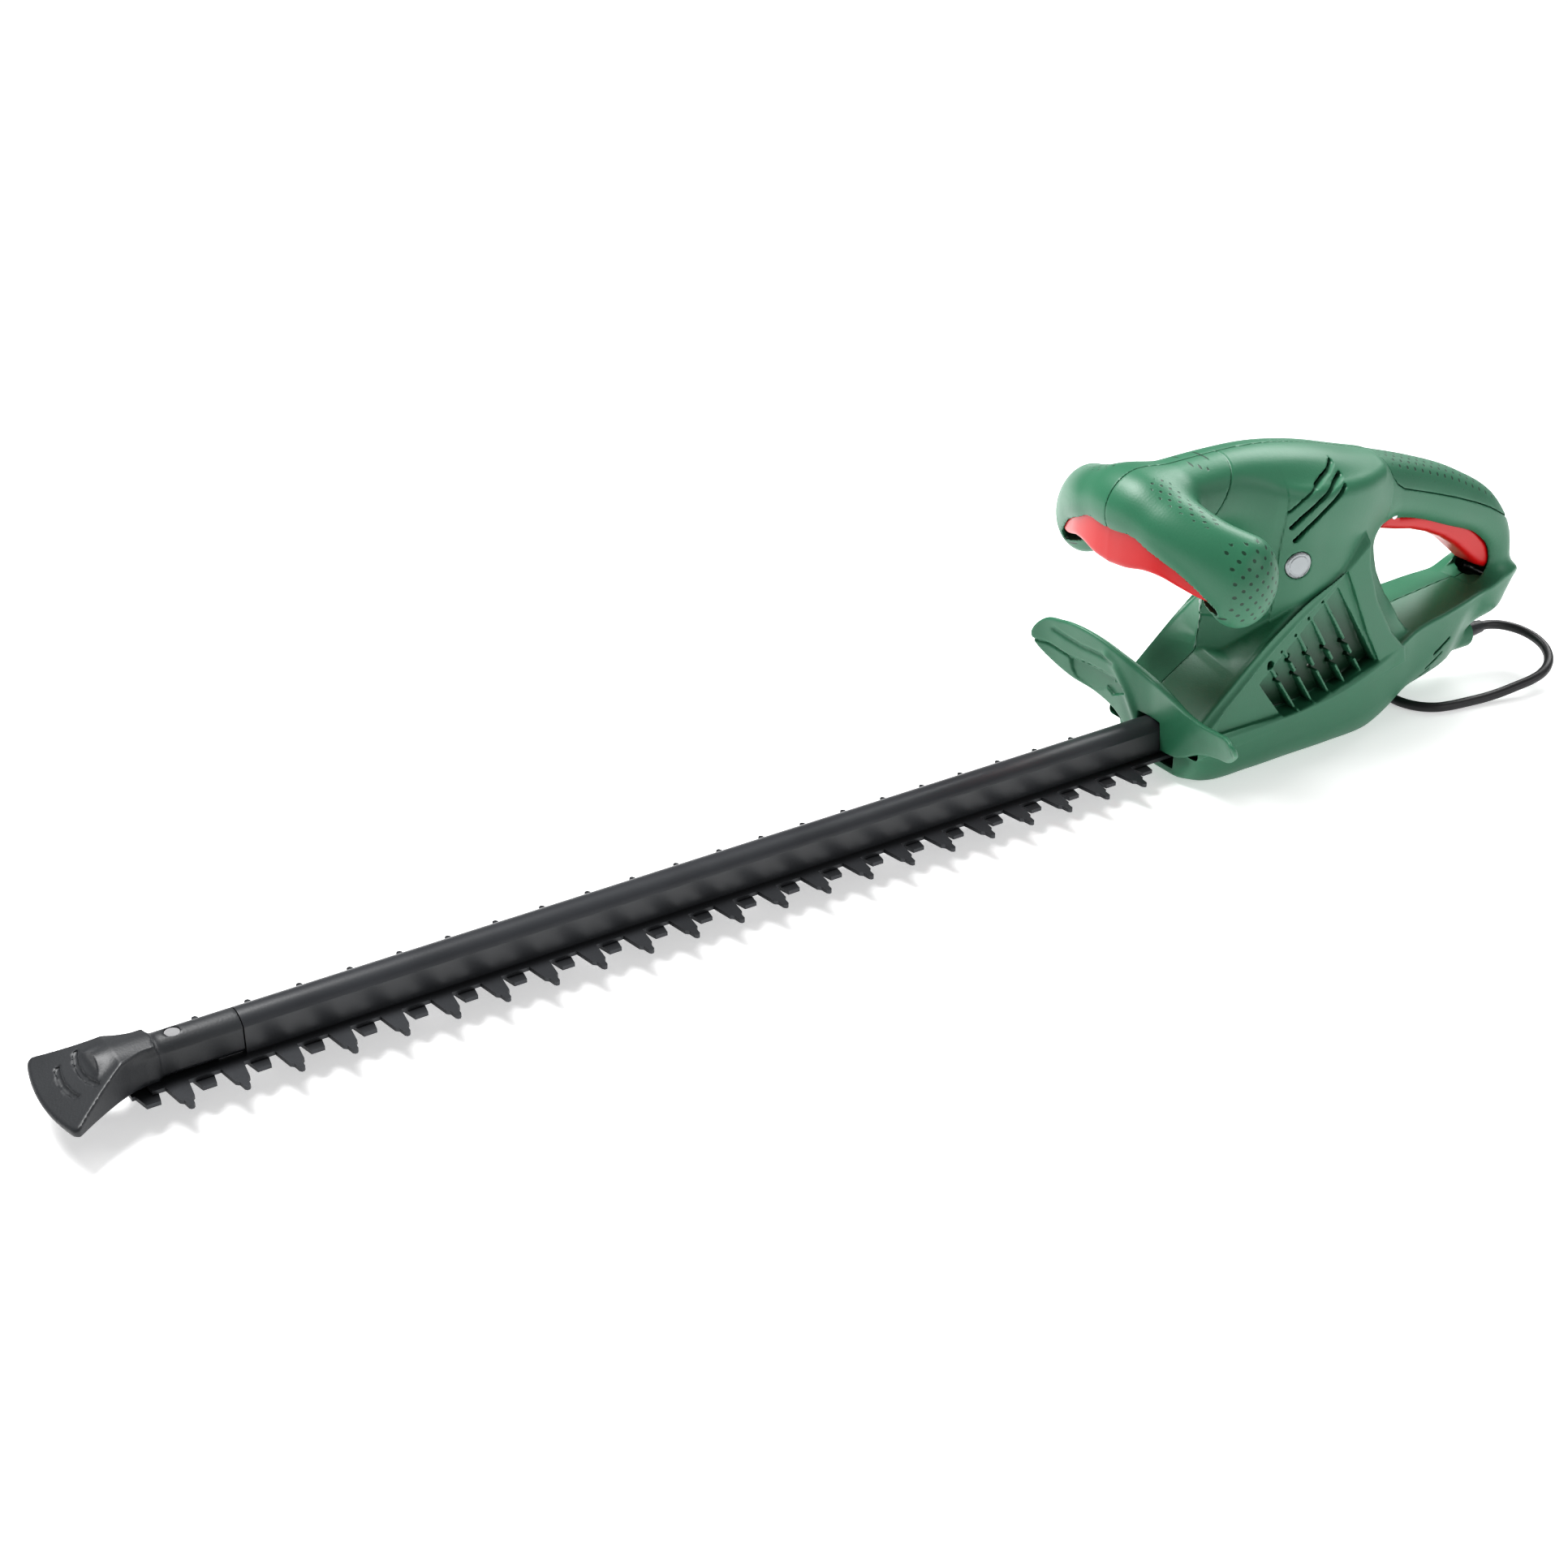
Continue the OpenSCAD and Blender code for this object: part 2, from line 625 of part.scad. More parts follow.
module gear_plate() color(steel) difference() {
    union() {
        translate([-47, -26, plate_z]) cube([88, 52, 4]);
        translate([-64, -11.5, plate_z]) cube([18, 23, 4]);
        translate([motor_x, 0, plate_z]) cylinder(r = 13.6, h = 12);
        translate([gear_x, 0, plate_z]) cylinder(r = 8, h = 9);
    }
    translate([motor_x, 0, plate_z - 1]) cylinder(r = shaft_r + 0.8, h = 20);
    translate([motor_x, 0, bearing_z]) cylinder(r = 11, h = 20);
    translate([gear_x, 0, plate_z - 1]) cylinder(r = 4, h = 12);
    for (y = [-9, 9]) translate([-57, y, plate_z - 1]) cylinder(r = 1.65, h = 8);
}

module plate_screws() color(steel) for (y = [-9, 9]) translate([-57, y, 0]) {
    translate([0, 0, comb_z]) cylinder(r = 1.6, h = plate_z + 4 - comb_z);
    translate([0, 0, plate_z + 4]) cylinder(r = 2.4, h = 1.6);
}

module gear_axle() color(steel) translate([gear_x, 0, 16.2]) cylinder(r = 4, h = plate_z + 9 - 16.2);

module axle_clip() color(steel) translate([gear_x, 0, 16.4]) difference() {
    cylinder(r = 6.4, h = 1.2);
    translate([0, 0, -1]) cylinder(r = 4, h = 4);
}

module drive_gear() color([0.5, 0.5, 0.48]) translate([gear_x, 0, 0]) difference() {
    union() {
        translate([0, 0, gear_z]) linear_extrude(gear_t) spur(gear_teeth, 0, -0.5, 0.16);
        translate([0, 0, gear_z]) cylinder(r = 8, h = plate_z - gear_z - 0.3);
    }
    translate([0, 0, gear_z - 1]) cylinder(r = 4 + run_gap, h = 20);
    translate([0, 0, gear_z + gear_t - 2.5]) difference() {
        cylinder(r = 20, h = 5);
        translate([0, 0, -1]) cylinder(r = 8, h = 8);
    }
}

module crank_pin() color(steel) translate([gear_x, crank_r, 12.2]) cylinder(r = 4, h = gear_z - 12.2);

module pinion() color(steel) translate([motor_x, 0, 16.8]) linear_extrude(12)
    rotate(180) spur(pinion_teeth, 180 / pinion_teeth, 0.5, 0.16);

module motor_shaft() color(steel) translate([motor_x, 0, 0]) {
    translate([0, 0, 28.8]) cylinder(r = shaft_r, h = bridge_z - 28.8 - 1);
    translate([0, 0, bridge_z - 1]) cylinder(r = 3, h = 12);
}

module ring(r_in, r_out, z, h) translate([motor_x, 0, z]) difference() {
    cylinder(r = r_out, h = h);
    translate([0, 0, -1]) cylinder(r = r_in, h = h + 2);
}

module lower_bearing() color(steel) ring(shaft_r + run_gap, 11, bearing_z, 7);
module upper_bearing() color(steel) ring(3 + run_gap, 9.5, top_bearing_z, 6);

module cooling_fan() color([0.85, 0.85, 0.82]) {
    ring(shaft_r, 26, fan_z, 1.6);
    ring(shaft_r, 8, fan_z + 1.6, 10);
    translate([motor_x, 0, fan_z + 1.6]) for (i = [0:11]) rotate(i * 30) translate([8.6, -0.6, 0])
        cube([16.6, 1.2, 9]);
}

module armature_core() color([0.4, 0.4, 0.42]) difference() {
    ring(shaft_r, 17, core_z, core_h);
    translate([motor_x, 0, core_z - 1]) for (i = [0:11]) rotate(i * 30) translate([14, -0.8, 0])
        cube([5, 1.6, core_h + 2]);
}

module armature_winding() color(copper) {
    ring(shaft_r + 1, 14.5, core_z - 5, 5);
    ring(shaft_r + 1, 14.5, core_z + core_h, 6);
}

module commutator() color(copper) difference() {
    ring(shaft_r, 11, comm_z, 13);
    translate([motor_x, 0, comm_z - 1]) for (i = [0:11]) rotate(i * 30) translate([10, -0.25, 0])
        cube([3, 0.5, 15]);
}

module stator_outline(c) intersection() {
    circle(30 + c);
    square([60 + 2 * c, 53 + 2 * c], center = true);
}

module stator_core() color([0.4, 0.4, 0.42]) translate([motor_x, 0, core_z])
    linear_extrude(core_h) difference() {
        stator_outline(0);
        circle(17.7);
        for (y = [-1, 1]) translate([0, y * 21.6]) square([26, 4.6], center = true);
    }

module field_coils() color(copper) for (y = [-1, 1]) translate([motor_x, y * 21.6, core_z - 5])
    translate([-12.8, -2.1, 0]) cube([25.6, 4.2, core_h + 12]);

module brush_bridge() color([0.2, 0.2, 0.2]) difference() {
    union() {
        ring(4.6, 24, bridge_z, 4);
        ring(9.5, 12, top_bearing_z, 6.5);
    }
    translate([motor_x, 0, bridge_z + 2]) cylinder(r = 4.6, h = 4);
}

module brush_pair() for (a = [0, 180]) translate([motor_x, 0, 0]) rotate(a) children();

module brush_holders() color([0.75, 0.6, 0.3]) brush_pair() difference() {
    translate([12, -5, 112]) cube([19, 10, bridge_z - 112]);
    translate([11, -3.2, 113.4]) cube([19, 6.4, 7.2]);
}

module carbon_brushes() color([0.1, 0.1, 0.1]) brush_pair() translate([11.2, -3.1, 113.5])
    cube([14, 6.2, 7]);

module suppressor() color([0.8, 0.7, 0.2]) translate([-30, -7, 104]) cube([9, 14, 18]);

// ---------- controls ----------

module rear_trigger() color(red) difference() {
    translate([0, 10.8, 0]) rotate([90, 0, 0]) linear_extrude(21.6)
        polygon([[73, 112], [86, 108.5], [98, 106], [111, 101.5], [124, 95.5], [136, 88], [147, 79],
            [156, 71.5], [163, 68], [167, 71], [167, 76], [162, 85], [150, 96.5], [142, 101.5],
            [141, 106], [131, 106], [120, 111.5], [104, 115.2], [88, 117.5], [84, 125], [73, 125]]);
    translate(trigger_hinge) rotate([90, 0, 0]) cylinder(r = 2 + run_gap, h = 40, center = true);
}

module trigger_pin() color(steel) translate(trigger_hinge) rotate([90, 0, 0])
    cylinder(r = 2, h = 29, center = true);

module rear_switch() color(black) difference() {
    translate([97, -8, 121.4]) cube([18, 16, 10]);
    translate([106, 0, 121]) cylinder(r = 2.3, h = 9.4);
}
module rear_plunger() color(red) translate([106, 0, 115.6]) cylinder(r = 2, h = 10.6);

module trigger_spring() color(steel) translate([136, 0, 106]) coil(3, 0.7, 4, 13);

module front_switch() color(black) difference() {
    translate([-106, -8, 164.2]) cube([19, 16, 11]);
    translate([-97, 0, 163]) cylinder(r = 2.3, h = 9.6);
}
module front_plunger() color(red) translate([-97, 0, 157.3]) cylinder(r = 2, h = 11);

module front_switch_bar() color(red) bar_form(0, 0);

module bar_springs() color(steel) for (side = [-1, 1]) translate([-101, side * 18, 155.8])
    coil(2.6, 0.6, 3, 5.6);

// ---------- cord ----------

module cord_clamp() color(black) difference() {
    translate([126, -8, 19.6]) cube([10, 16, 8.8]);
    translate([120, 0, 24]) rotate([0, 90, 0]) cylinder(r = cord_d / 2 + 0.1, h = 30);
}

module strain_relief() color(black) difference() {
    union() {
        translate([150, 0, 24]) rotate([0, 90, 0]) cylinder(r = 5.1, h = 14);
        translate([147, 0, 24]) rotate([0, 90, 0]) cylinder(r = 6.2, h = 3);
        translate([164, 0, 24]) rotate([0, 90, 0]) cylinder(r1 = 5.1, r2 = 3.7, h = 14);
    }
    translate([140, 0, 24]) rotate([0, 90, 0]) cylinder(r = cord_d / 2, h = 39);
}

module power_cord() color(black)
    tube([for (i = [0:len(cord_route) - 1]) route_ring(cord_route, i, cord_d / 2, cord_sides)], cord_sides);

module inner_lead() color([0.75, 0.75, 0.72]) translate([112, 0, 24]) rotate([0, 90, 0])
    cylinder(r = cord_d / 2, h = 54);

module plug_body() color(black) translate(plug_face) rotate([0, -90, 0]) {
    cylinder(r1 = 4.4, r2 = 7, h = 14);
    translate([0, 0, 14]) linear_extrude(30) intersection() {
        square([26, 36], center = true);
        circle(19.5);
    }
}

module plug_pins() color(steel) for (y = [-9.5, 9.5])
    translate(plug_face + [-44, y, 0]) rotate([0, -90, 0]) cylinder(r = 2.4, h = 19);

housing_left();
housing_right();
front_handle_left();
front_handle_right();
hand_guard();
base_cover();
cover_screws();
rear_grip_inlay();
column_badge();
rail_cover();
support_bar();
mount_block();
guard_comb();
cutter_blade();
drive_yoke();
yoke_rivets();
guide_screws();
guide_washers();
lock_nuts();
tip_protector();
tip_screw();
gear_plate();
plate_screws();
gear_axle();
axle_clip();
drive_gear();
crank_pin();
pinion();
motor_shaft();
lower_bearing();
upper_bearing();
cooling_fan();
armature_core();
armature_winding();
commutator();
stator_core();
field_coils();
brush_bridge();
brush_holders();
carbon_brushes();
suppressor();
housing_screws();
rear_switch();
rear_plunger();
rear_trigger();
trigger_pin();
trigger_spring();
front_switch();
front_plunger();
front_switch_bar();
bar_springs();
cord_clamp();
strain_relief();
inner_lead();
power_cord();
plug_body();
plug_pins();
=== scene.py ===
"""Corded hedge trimmer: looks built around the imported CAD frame.

The green mouldings are solid fields (millimetres, row frame) that are meshed here; the
rail, the blade and the screws keep their CAD shape where it is right, with better materials.
"""
import json
import math

import bpy
import numpy as np
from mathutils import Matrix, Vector


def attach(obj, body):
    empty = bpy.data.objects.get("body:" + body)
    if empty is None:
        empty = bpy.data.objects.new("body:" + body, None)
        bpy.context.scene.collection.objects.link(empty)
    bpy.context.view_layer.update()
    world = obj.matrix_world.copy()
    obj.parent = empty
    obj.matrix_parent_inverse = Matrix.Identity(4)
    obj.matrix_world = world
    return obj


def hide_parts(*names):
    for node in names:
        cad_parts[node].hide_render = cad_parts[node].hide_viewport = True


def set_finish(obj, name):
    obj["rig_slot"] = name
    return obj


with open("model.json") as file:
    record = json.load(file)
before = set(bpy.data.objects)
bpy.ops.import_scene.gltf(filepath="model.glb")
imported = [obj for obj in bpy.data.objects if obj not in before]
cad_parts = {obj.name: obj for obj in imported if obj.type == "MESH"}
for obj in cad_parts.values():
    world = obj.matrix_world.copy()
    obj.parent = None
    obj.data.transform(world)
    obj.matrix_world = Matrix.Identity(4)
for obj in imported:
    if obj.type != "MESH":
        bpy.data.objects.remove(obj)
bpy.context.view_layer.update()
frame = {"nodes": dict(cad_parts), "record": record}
MM = 0.001
STEP = 0.8   # size of the cells that the fields are meshed with

# ---------- camera ----------

AZIMUTH, ELEVATION = math.radians(-33.135), math.radians(28.19)
camera = bpy.data.objects.new("camera", bpy.data.cameras.new("camera"))
bpy.context.scene.collection.objects.link(camera)
camera.location = Vector((-886.0, -880.8, 625.6)) * MM
back = Vector((math.sin(AZIMUTH) * math.cos(ELEVATION),
               -math.cos(AZIMUTH) * math.cos(ELEVATION), math.sin(ELEVATION)))
camera.rotation_euler = (-back).to_track_quat("-Z", "Y").to_euler()
camera.data.lens = 56.44
camera.data.sensor_width = 36
camera.data.clip_end = 50
bpy.context.scene.camera = camera


# ---------- small helpers ----------

def link(name, mesh, body="body", slot=None, replaces=()):
    """A piece that rides on a body, and stands for CAD nodes."""
    obj = bpy.data.objects.new(name, mesh)
    bpy.context.scene.collection.objects.link(obj)
    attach(obj, body)
    if slot:
        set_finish(obj, slot)
    if replaces:
        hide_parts(*replaces)
    return obj


def curve_points(points, count):
    """A smooth line of count points through the given ones."""
    pts = np.asarray(points, float)
    s = np.concatenate([[0], np.cumsum(np.linalg.norm(np.diff(pts[:, :2], axis=0), axis=1))])
    u = np.linspace(0, s[-1], count)
    return np.stack([smooth(u, s, pts[:, c]) for c in range(pts.shape[1])], axis=1)


def smooth(u, knots, values):
    """Smooth interpolation of values at knots."""
    k, v = np.asarray(knots, float), np.asarray(values, float)
    m = np.gradient(v, k)
    i = np.clip(np.searchsorted(k, u) - 1, 0, len(k) - 2)
    h = k[i + 1] - k[i]
    t = np.clip((u - k[i]) / h, 0, 1)
    return ((2 * t**3 - 3 * t**2 + 1) * v[i] + (t**3 - 2 * t**2 + t) * h * m[i]
            + (3 * t**2 - 2 * t**3) * v[i + 1] + (t**3 - t**2) * h * m[i + 1])


# ---------- power cord ----------

CORD_D = 5.6
# Out of the strain relief, round in a loop, along the ground, under the tail and up to the plug
CORD_ROUTE = [
    (166, 0, 24), (172, 0, 24), (178.5, 0, 24), (184.8, -0.9, 23.7), (190.6, -3.4, 23.1),
    (195.5, -7.5, 22.2), (199.1, -12.7, 21.1), (201.1, -18.7, 19.8), (201.4, -25, 18.4),
    (200, -31.2, 16.8), (196.9, -36.7, 15.2), (192.5, -41.2, 13.5), (187, -44.4, 11.9),
    (180.8, -45.9, 10.2), (174.5, -45.7, 8.6), (164, -43.8, 6.3), (153, -41.9, 4.3),
    (142, -39.9, 3.1), (131, -38, 2.8), (117.4, -35.6, 2.8), (111.2, -33.5, 2.8),
    (105.8, -29.8, 2.8), (101.7, -24.8, 2.8), (99.2, -18.8, 2.8), (98.4, -12.3, 2.8),
    (99.5, -5.9, 2.8), (104, 4.2, 2.8), (108.5, 18, 3.6), (112.9, 36, 6.5), (114, 43.1, 7.9),
    (112.9, 50.2, 9.3), (109.6, 56.6, 10.6), (104.5, 61.6, 11.7), (98.1, 64.9, 12.5), (91, 66, 13),
    (86, 66, 13), (82, 66, 13)]


def tube(name, route, radii, sides=20):
    """A round tube in metres along a smooth route in millimetres, with domed ends."""
    pts = np.asarray(route, float) * MM
    radii = np.broadcast_to(np.asarray(radii, float) * MM, len(pts))
    ahead = np.gradient(pts, axis=0)
    ahead /= np.linalg.norm(ahead, axis=1)[:, None]
    across = np.cross([0, 0, 1], ahead)
    across /= np.linalg.norm(across, axis=1)[:, None]
    upward = np.cross(ahead, across)
    turn = np.arange(sides) * 2 * math.pi / sides
    rings = (pts[:, None] + radii[:, None, None] * (np.cos(turn)[:, None] * across[:, None]
                                                   + np.sin(turn)[:, None] * upward[:, None]))
    n = len(pts)
    quads = [(i * sides + k, i * sides + (k + 1) % sides,
              (i + 1) * sides + (k + 1) % sides, (i + 1) * sides + k)
             for i in range(n - 1) for k in range(sides)]
    caps = [tuple(range(sides))[::-1], tuple((n - 1) * sides + k for k in range(sides))]
    mesh = bpy.data.meshes.new(name)
    mesh.from_pydata(rings.reshape(-1, 3).tolist(), [], quads + caps)
    mesh.polygons.foreach_set("use_smooth", [True] * len(quads) + [False] * 2)
    return mesh


def spaced(route, count):
    """A smooth line of count evenly spread points through a route."""
    pts = np.asarray(route, float)
    s = np.concatenate([[0], np.cumsum(np.linalg.norm(np.diff(pts, axis=0), axis=1))])
    return np.stack([smooth(np.linspace(0, s[-1], count), s, pts[:, c]) for c in range(3)], 1)


cord_path = spaced(CORD_ROUTE, 200)
power_cord = link("power_cord_sheath", tube("power_cord_sheath", cord_path, CORD_D / 2),
                  slot="cord_pvc", replaces=("power_cord",))

# ---------- solid fields: negative inside, millimetres ----------

def smin(a, b, k):
    h = np.maximum(k - np.abs(a - b), 0) / k
    return np.minimum(a, b) - h * h * k / 4


def smax(a, b, k):
    return -smin(-a, -b, k)


def ease(t):
    """Smooth step from 0 to 1."""
    t = np.clip(t, 0, 1)
    return t * t * (3 - 2 * t)


def polygon(u, v, points):
    """Signed distance to a closed outline."""
    best = np.full(np.broadcast(u, v).shape, 1e9)
    inside = np.zeros(best.shape, bool)
    for (u0, v0), (u1, v1) in zip(points, points[1:] + points[:1]):
        eu, ev = u1 - u0, v1 - v0
        t = np.clip(((u - u0) * eu + (v - v0) * ev) / (eu * eu + ev * ev), 0, 1)
        best = np.minimum(best, (u - u0 - eu * t) ** 2 + (v - v0 - ev * t) ** 2)
        if ev:
            inside ^= ((v0 > v) != (v1 > v)) & (u < eu * (v - v0) / ev + u0)
    return np.where(inside, -1, 1) * np.sqrt(best)


def track(u, v, line):
    """Distance to an open line of points, and its other columns at the closest place."""
    best = np.full(np.broadcast(u, v).shape, 1e9)
    rest = [np.zeros(best.shape) for _ in range(line.shape[1] - 2)]
    for p, q in zip(line, line[1:]):
        eu, ev = q[0] - p[0], q[1] - p[1]
        t = np.clip(((u - p[0]) * eu + (v - p[1]) * ev) / (eu * eu + ev * ev), 0, 1)
        d = (u - p[0] - eu * t) ** 2 + (v - p[1] - ev * t) ** 2
        near = d < best
        best = np.where(near, d, best)
        rest = [np.where(near, p[i + 2] + (q[i + 2] - p[i + 2]) * t, r) for i, r in enumerate(rest)]
    return [np.sqrt(best), *rest]


def pod(x, y, z, centre, radii):
    """An ellipsoid."""
    px, py, pz = (x - centre[0]) / radii[0], (y - centre[1]) / radii[1], (z - centre[2]) / radii[2]
    k0 = np.sqrt(px * px + py * py + pz * pz)
    k1 = np.sqrt((px / radii[0]) ** 2 + (py / radii[1]) ** 2 + (pz / radii[2]) ** 2)
    return k0 * (k0 - 1) / np.maximum(k1, 1e-6)


# Centre line of the arch, from the front handle's middle to the foot of the D handle:
# x, z, half its height, half its width
ARCH = curve_points([
    (-97, 161, 17, 20), (-72, 161, 17.5, 20), (-50, 159.5, 19.5, 20.5), (-20, 155, 22.5, 24),
    (13, 148, 23.5, 26), (40, 142, 22, 24), (62, 137, 20.5, 20), (92, 130, 18, 17.5),
    (129, 116, 17, 17), (156, 101.5, 14.5, 16.5), (168, 87, 12.5, 16), (171, 67, 11, 16.5),
    (168, 50, 12, 17)], 70)


def seam_x(z):
    """Joint between the front handle and the housing: a plane that leans forward."""
    return -50 + 0.57 * (np.clip(z, 152, 182) - 170)


def arch(x, y, z):
    d, a, b = track(x, z, ARCH)
    q = ((d / a) ** 2.3 + (np.abs(y) / b) ** 2.3) ** (1 / 2.3)
    return (q - 1) * np.minimum(a, b)


# Half width of the column along x, low down and at the badge
COLUMN_LOW = ([-50, -40, -19, 0, 14, 40, 62, 80, 95], [0, 9.5, 20.5, 28, 30.5, 30.5, 29, 27, 24])
COLUMN_HIGH = ([-46, -36, -22, -8, 10, 30, 48, 60, 68], [0, 11, 23.5, 30, 31, 29.5, 24.5, 18, 12])
COLUMN = [(-50.5, 50), (-50.5, 70), (-48, 98), (-46, 128), (-40, 160), (60, 150), (68, 124),
          (65, 108), (65, 94), (69, 80), (78, 64), (90, 52), (96, 46), (96, 40), (-20, 40)]


def column(x, y, z):
    t = np.clip((z - 62) / 52, 0, 1)
    t = t * t * (3 - 2 * t)

    def half(at):
        return (1 - t) * smooth(at, *COLUMN_LOW) + t * smooth(at, *COLUMN_HIGH)

    w = half(x)
    slope = half(x + 0.5) - half(x - 0.5)
    return smax((np.abs(y) - w) / np.sqrt(1 + slope * slope), polygon(x, z, COLUMN), 3 + 4 * t)


# Lower hull along x: floor, its half width, bilge, its half width, ledge, its half width
HULL_X = [-72, -58, -30, 0, 30, 62, 78, 92, 122, 134, 144, 152, 160, 168, 180]
HULL = dict(
    floor=[4, 0, 0, 0, 0, 0, 4, 9, 11, 12, 15, 22, 34, 44, 54],
    floor_half=[21, 25, 27, 27, 27, 25, 22, 18, 12, 10, 8, 7, 7, 7, 7],
    bilge=[12, 8, 7, 8, 8, 10, 14, 19, 27, 31, 36, 40, 45, 51, 58],
    bilge_half=[30, 33, 34.5, 35, 35, 33, 30, 27, 22.5, 20, 17, 15.5, 15, 14, 12],
    ledge=[31, 31, 31.5, 33, 37, 47, 51, 53.5, 57, 58.5, 59.5, 60.3, 61.5, 63, 65],
    ledge_half=[33.5, 36, 37, 37, 37, 36, 33, 29, 25.5, 24, 22.5, 21.5, 20, 17.5, 15])
TAIL = [(-72, 3), (-62, -1), (62, -1), (80, 4), (94, 9), (122, 10.5), (144, 13), (153, 22), (160, 34),
        (170, 44), (180, 53), (183, 61), (183, 75), (160, 90), (-72, 90)]


def hull(x, y, z):
    at = {k: smooth(x, HULL_X, v) for k, v in HULL.items()}
    a = np.abs(y)

    def half(lower, upper):
        """Half width at z on the flank between two of the lines."""
        rise = (z - at[lower]) / (at[upper] - at[lower])
        return at[lower + "_half"] + (at[upper + "_half"] - at[lower + "_half"]) * rise

    low, high = half("floor", "bilge"), half("bilge", "ledge")
    side = smax((a - low) * 0.78, (a - high) * 0.98, 5)
    deck = (z - at["ledge"] - (at["ledge_half"] - a) * 0.16) * 0.97
    body = smax(smax(side, polygon(x, z, TAIL), 5), at["floor"] - z, 2.5)
    return smax(body, deck, 2.0)


# Upper edge of the side panel: the band that rises from the guard to the D handle
BAND = ([-80, -66, -48, -29, -5, 22, 50], [32, 44.5, 60, 76, 93, 109, 130])
PANEL_REAR = [(-90, 20), (-90, 60), (-48, 110), (40, 140), (44, 122), (46, 104), (53, 84), (66, 62),
              (78, 49), (80, 40), (0, 26)]


def below_band(x, z):
    """How far a point is below the band's upper edge."""
    return (smooth(x, *BAND) - z) * 0.78


def panel_half(z):
    return 35.6 - 0.045 * (z - 36)


def panel(x, y, z):
    s = below_band(x, z)
    w = panel_half(z) - np.maximum(0, 5.2 - s) * 0.8
    d = smax((np.abs(y) - w) * 0.8, -s, 0.8)
    return smax(d, polygon(x, z, PANEL_REAR), 3)


def roof(x, y, z):
    """The top between the guard and the column: from the prow's foot out to the band's crest."""
    a = np.abs(y)
    ridge = 68 + 0.6 * np.minimum(0, x + 46)
    crest = smooth(x, *BAND)
    foot = np.where(x > -50, smooth(np.maximum(x, -50), *COLUMN_LOW), 0)
    top = ridge + (crest - ridge) * np.clip((a - foot) / (33 - foot), 0, 1)
    d = smax((z - top) * 0.7, a - 33, 1)
    return smax(np.maximum(d, 20 - z), np.maximum(-72 - x, x - 25), 1)


CORD_Z = 24       # height of the strain relief's axis
BOSS_R = 8.6      # boss round the strain relief
BOSS_END = 163.5


def body_solid(x, y, z):
    """Housing without its openings."""
    # The column steps in a little above its foot
    step = np.clip((z - 86.5) / 1.2, 0, 1) * np.clip((-18 - x) / 6, 0, 1)
    upper = smin(column(x, y, z) + 0.9 * (1 - step) * (x < -18), arch(x, y, z), 13)
    lower = smin(hull(x, y, z), roof(x, y, z), 1.5)
    d = smin(smin(upper, lower, 1.6 + 11 * ease((x - 118) / 25)), panel(x, y, z), 1.2)
    boss = np.maximum(np.hypot(y, z - CORD_Z) - BOSS_R, np.maximum(140 - x, x - BOSS_END))
    return smin(d, boss, 2.5)


# Louvres: their fins lean from the band down to the ledge
FIN_TOPS = [(-31.5 + 9.1 * i, 54 + 7.35 * i) for i in range(7)]
FIN_FEET = [(-14.5 + 11.8 * i, f) for i, f in enumerate([31.9, 32.4, 34, 36.6, 39.4, 43.2, 46])]
FIN_T = 1.5
RECESS = [(-62, 33.5), (-20, 32.6), (10, 35), (34, 39.5), (57, 46.5), (46, 66), (31, 99),
          (27.5, 106), (8, 92), (-16, 77.5), (-38, 60.5), (-58, 43.5)]
NOTCH_ROWS = (63.5, 53.6)   # heights of the round notches in the fins
NOTCH_R = 2.3
EYE_R = 0.9                 # small round relief at the top of each fin


def louvres(x, y, z):
    """The recess, the pockets between its fins, and the fins' notches."""
    a = np.abs(y)
    cut = smax(polygon(x, z, RECESS), panel_half(z) - 2.3 - a, 0.6)
    for i in range(6):
        (x0, z0), (x1, z1) = FIN_TOPS[i], FIN_TOPS[i + 1]
        (x2, z2), (x3, z3) = FIN_FEET[i + 1], FIN_FEET[i]
        lead = polygon(x, z, [(x0 + FIN_T, z0), (x1, z1 - 1), (x2, z2), (x3 + FIN_T, z3)])
        along_fin = np.clip((z0 + 4 - z) / (z0 - z3), 0, 1)
        cut = smin(cut, smax(lead, panel_half(z) - 3.5 - 6.2 * along_fin - a, 0.6), 0.3)
    for i in range(1, 6):
        (x0, z0), (x1, z1) = FIN_TOPS[i], FIN_FEET[i]
        for row in NOTCH_ROWS:
            at = x0 + (x1 - x0) * (z0 - row) / (z0 - z1) + 1.2
            notch = np.hypot(x - at, z - row) - NOTCH_R
            cut = np.minimum(cut, np.maximum(notch, panel_half(z) - 12 - a))
        eye = np.hypot(x - x0 + 1.6, z - z0 - 0.4) - EYE_R
        cut = np.minimum(cut, np.maximum(eye, panel_half(z) - 6 - a))
    return cut


TOP_SLOTS = [[(19.9, 165), (14, 162.6), (7, 160.9), (0.5, 158.7)],
             [(0.5, 158.7), (-10, 154), (-17, 148.3)],
             [(21.3, 159.7), (13, 157), (0, 151), (-8.3, 145.1), (-14.3, 139)],
             [(20.6, 154.8), (14.7, 151.6), (3.7, 144.3), (-4.8, 137.7), (-11, 131)]]
SLOT_R = [1.25, 0.6, 1.3, 1.3]
TAIL_SLOTS = [[(126, 38), (114, 32)], [(122, 29.5), (110, 23.5)], [(115, 20.5), (106, 16)]]


